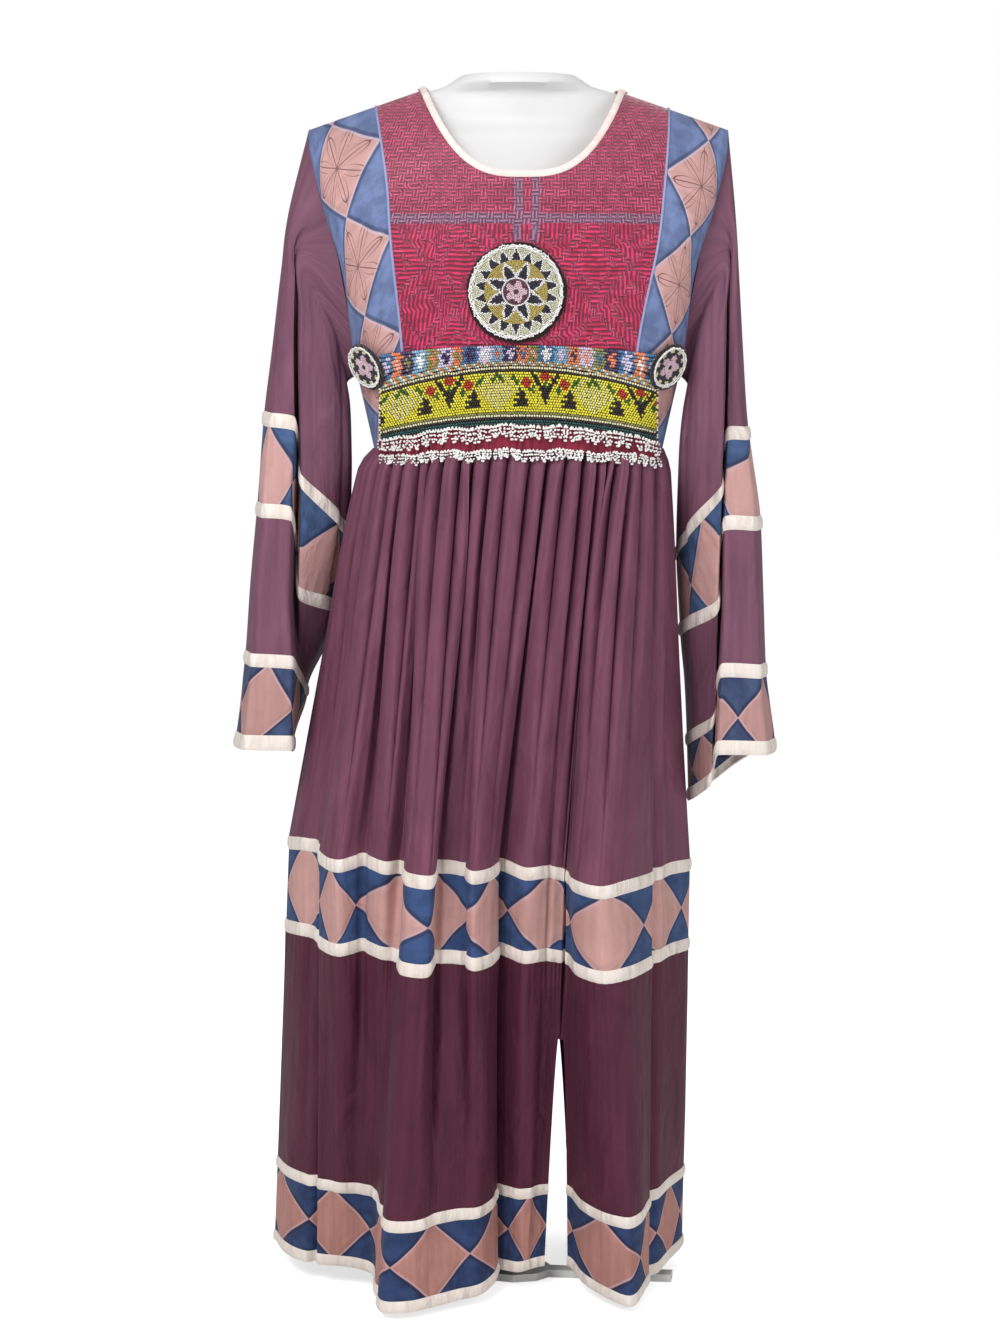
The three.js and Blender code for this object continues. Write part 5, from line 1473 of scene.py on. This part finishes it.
def belt_ends():
    """The edging at the belt's two ends: a column of dark and cream beads."""
    ends = [(side * (BELT_HALF - 0.6), 982 - 2.5 * number, 8 + 9 * min(1, number / 12), "KCC"[number % 3])
            for side in (-1, 1) for number in range(33)]
    xs, levels, drops, tones = zip(*ends)
    spots, normals, alongs = belt_frame(np.array(xs), np.array(levels), np.array(drops),
                                        np.full(len(ends), 4.8))
    beadwork("belt_end_beads", spots, normals, np.cross(normals, alongs), 2.9, tones)


def belt():
    dark = plain_cloth("belt_ground", (52, 40, 34), (34, 24, 24), 0.85, 0.1)
    belt_cloth("belt_strip_cloth", dark, ["belt_strip"], STRIP, 110, 4)
    strip = strip_beads()
    lay_beads("strip_beads", strip, 2.9, strip_sizes(strip[2]))
    belt_cloth("belt_band_cloth", dark, ["belt_band"], BAND, 110, 10)
    lay_beads("band_beads", band_beads(), 4.3, 2.85)
    belt_ends()
    belt_cloth("belt_frill_cloth", MAROON, ["belt_frill"], FRILL, 700, 8, frill_wave)
    bead_fringe("upper_bead_fringe", (905, 16), 13, 8.6, 2.2, 96, "belt_ruffle_upper")
    bead_fringe("lower_bead_fringe", (880, 8), 9.5, 7.4, 2.6, 84, "belt_ruffle_lower")


belt()

# The medallions


def medallion_frame(x, z, off):
    turn = float(turn_at(np.array(x), np.array(z)))
    right = bodice_point(-1, turn + 0.5, z) - bodice_point(-1, turn - 0.5, z)
    below = bodice_point(-1, turn, z - 0.5) - bodice_point(-1, turn, z + 0.5)
    normal = np.cross(below, right)
    normal /= np.linalg.norm(normal)
    right = right / np.linalg.norm(right)
    return bodice_point(-1, turn, z) + normal * off, normal, right, np.cross(normal, right)


def star_tone(radius, angle, reach):
    """Colours of the large medallion by distance from its middle, as a share, and by angle."""
    share = radius / reach
    if share > 0.9:
        return "W"
    if share < 0.3:
        petal = 0.13 + 0.1 * abs(math.cos(2.5 * angle))
        return "W" if share > 0.255 else ("F" if share < petal and share > 0.06 else "M")
    points = 8 if share < 0.66 else 18
    inner, outer, around = (0.3, 0.64, "D") if share < 0.66 else (0.66, 0.89, "E")
    turn = (angle * points / (2 * math.pi)) % 1.0
    aside = abs(turn - 0.5) * 2 * math.pi / points * share
    reached = (outer - share) / (outer - inner) * math.pi / points * share
    if abs(aside - reached) < (0.027 if share < 0.66 else 0.018):
        return "W"
    return "N" if aside < reached else around


def small_tone(radius, angle, reach):
    share = radius / reach
    if share > 0.84:
        return "W"
    if share > 0.7:
        return "K" if (angle * 10 / math.pi) % 2 < 1.1 else "C"
    petal = 0.3 + 0.28 * abs(math.cos(2.5 * angle))
    if share < 0.14:
        return "K"
    return "F" if share < petal else "N"


def medallion_backing_and_shadow(name, reach, centre, normal, right, up):
    """A felt disc whose edge is a little uneven, set a little right of and below the beads: the dark rim it
    shows there is partly felt and partly painted shadow.
    """
    deselect()
    bpy.ops.mesh.primitive_cylinder_add(vertices=72, radius=(reach + 2.2) * MM, depth=2.2 * MM)
    backing = bpy.context.object
    backing.name = backing.data.name = f"{name}_backing"
    apply_modifier(backing, "BEVEL", width=0.7 * MM, segments=3)
    for vertex in backing.data.vertices:
        angle = math.atan2(vertex.co.y, vertex.co.x)
        wobble = 1 + 0.008 * math.sin(5 * angle + 1) + 0.006 * math.sin(11 * angle)
        # Shifted right and down: the dark rim showing there is partly felt edge and partly painted shadow.
        aside, above = np.array([vertex.co.x, vertex.co.y]) * wobble / MM + (0.6, -0.7)
        vertex.co = (centre + right * aside + up * above + normal * (vertex.co.z / MM + 1.4)) * MM
    pick(backing)
    bpy.ops.object.mode_set(mode="EDIT")
    bpy.ops.mesh.select_all(action="SELECT")
    bpy.ops.mesh.normals_make_consistent(inside=False)
    bpy.ops.object.mode_set(mode="OBJECT")
    bpy.ops.object.shade_smooth_by_angle(angle=math.radians(40))
    sew(backing, FELT, [name])


def medallion(name, x, z, off, reach, pitch, tone):
    """Rings of beads on a felt disc, thicker at the rim and over the middle."""
    centre, normal, right, up = medallion_frame(x, z, off)
    medallion_backing_and_shadow(name, reach, centre, normal, right, up)
    spots, normals, alongs, tones, sizes = [], [], [], [], []
    rings = int(reach / pitch)
    for ring in range(rings + 1):
        radius = ring * pitch
        count = max(1, round(2 * math.pi * radius / (pitch * 0.98)))
        for number in range(count):
            angle = 2 * math.pi * number / count + 0.3 * ring
            colour = tone(radius, angle, reach)
            rim = max(0, (radius / reach - 0.86) / 0.14)
            height = 3.0 + 1.2 * math.sin(math.pi * min(rim, 1) * 0.8) + 0.8 * (radius < reach * 0.29)
            uneven = 0.35 * rng.normal() * (0.4 + rim)
            line = right * math.cos(angle) + up * math.sin(angle)
            spots.append(centre + line * (radius + uneven) + normal * (height + rng.normal() * 0.1))
            normals.append(normal + rng.normal(0, 0.1, 3))
            alongs.append(-right * math.sin(angle) + up * math.cos(angle))
            tones.append(colour)
            sizes.append(pitch * (1.35 if colour == "W" and rim > 0 else 1.22))
    beadwork(f"{name}_beads", spots, normals, alongs, sizes, tones)


FELT = plain_cloth("dark_felt", (44, 26, 30), (26, 14, 18), 0.95, 0.3)
medallion("medallion_centre", -3, 1037, 0.35, 48, 1.72, star_tone)
medallion("medallion_left", -152, 966, 3.9, 23, 1.65, small_tone)
medallion("medallion_right", 148, 966, 4.65, 23, 1.65, small_tone)

# The stand keeps the frame's own solids, with painted steel on them
for part in ("stand_pole", "stand_foot"):
    for place in range(len(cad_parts[part].material_slots)):
        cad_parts[part].material_slots[place].material = STEEL

# Camera, light and floor


def camera():
    data = bpy.data.cameras.new("view")
    data.lens = 77.455
    data.sensor_fit = "VERTICAL"
    data.sensor_height = 36
    made = bpy.data.objects.new("view", data)
    made.location = (-0.019, -3.0, 0.914)
    made.rotation_euler = (math.radians(85), 0, 0)
    bpy.context.collection.objects.link(made)
    bpy.context.scene.camera = made


def area_light(name, place, aim, size, power):
    data = bpy.data.lights.new(name, "AREA")
    data.shape = "RECTANGLE"
    data.size, data.size_y = size
    data.energy = power
    made = bpy.data.objects.new(name, data)
    made.location = place
    made.rotation_euler = (Vector(aim) - Vector(place)).to_track_quat("-Z", "Y").to_euler()
    bpy.context.collection.objects.link(made)


def soft_world():
    """Even light, with a white backdrop where the camera sees past the floor."""
    world = bpy.data.worlds.new("soft")
    world.use_nodes = True
    tree = world.node_tree
    background = tree.nodes["Background"]
    background.inputs["Color"].default_value = (1, 1, 1, 1)
    seen = signal(tree, "ShaderNodeLightPath", output="Is Camera Ray")
    (seen * (1 - WORLD_LIGHT) + WORLD_LIGHT).feed(background.inputs["Strength"])
    bpy.context.scene.world = world


def studio():
    camera()
    area_light("key", (-1.2, -2.4, 2.7), (0, 0, 0.95), (1.5, 1.5), 72)
    area_light("fill", (2.0, -2.4, 1.7), (0, 0, 0.7), (1.6, 1.6), 27)
    area_light("back", (0.4, 2.4, 2.2), (0, 0, 0.7), (1.6, 1.2), 12)
    soft_world()
    bpy.context.scene.view_settings.view_transform = "Standard"
    deselect()
    bpy.ops.mesh.primitive_plane_add(size=30, location=(0, 0, -0.0005))
    floor = bpy.context.object
    floor.name = "floor"
    material, tree, inputs = finish("floor_white", 0.9)
    inputs["Base Color"].default_value = paint(250, 250, 250)
    inputs["Emission Color"].default_value = (1, 1, 1, 1)
    seen = signal(tree, "ShaderNodeLightPath", output="Is Camera Ray")
    (seen * FLOOR_GLOW).feed(inputs["Emission Strength"])
    floor.data.materials.append(material)


studio()
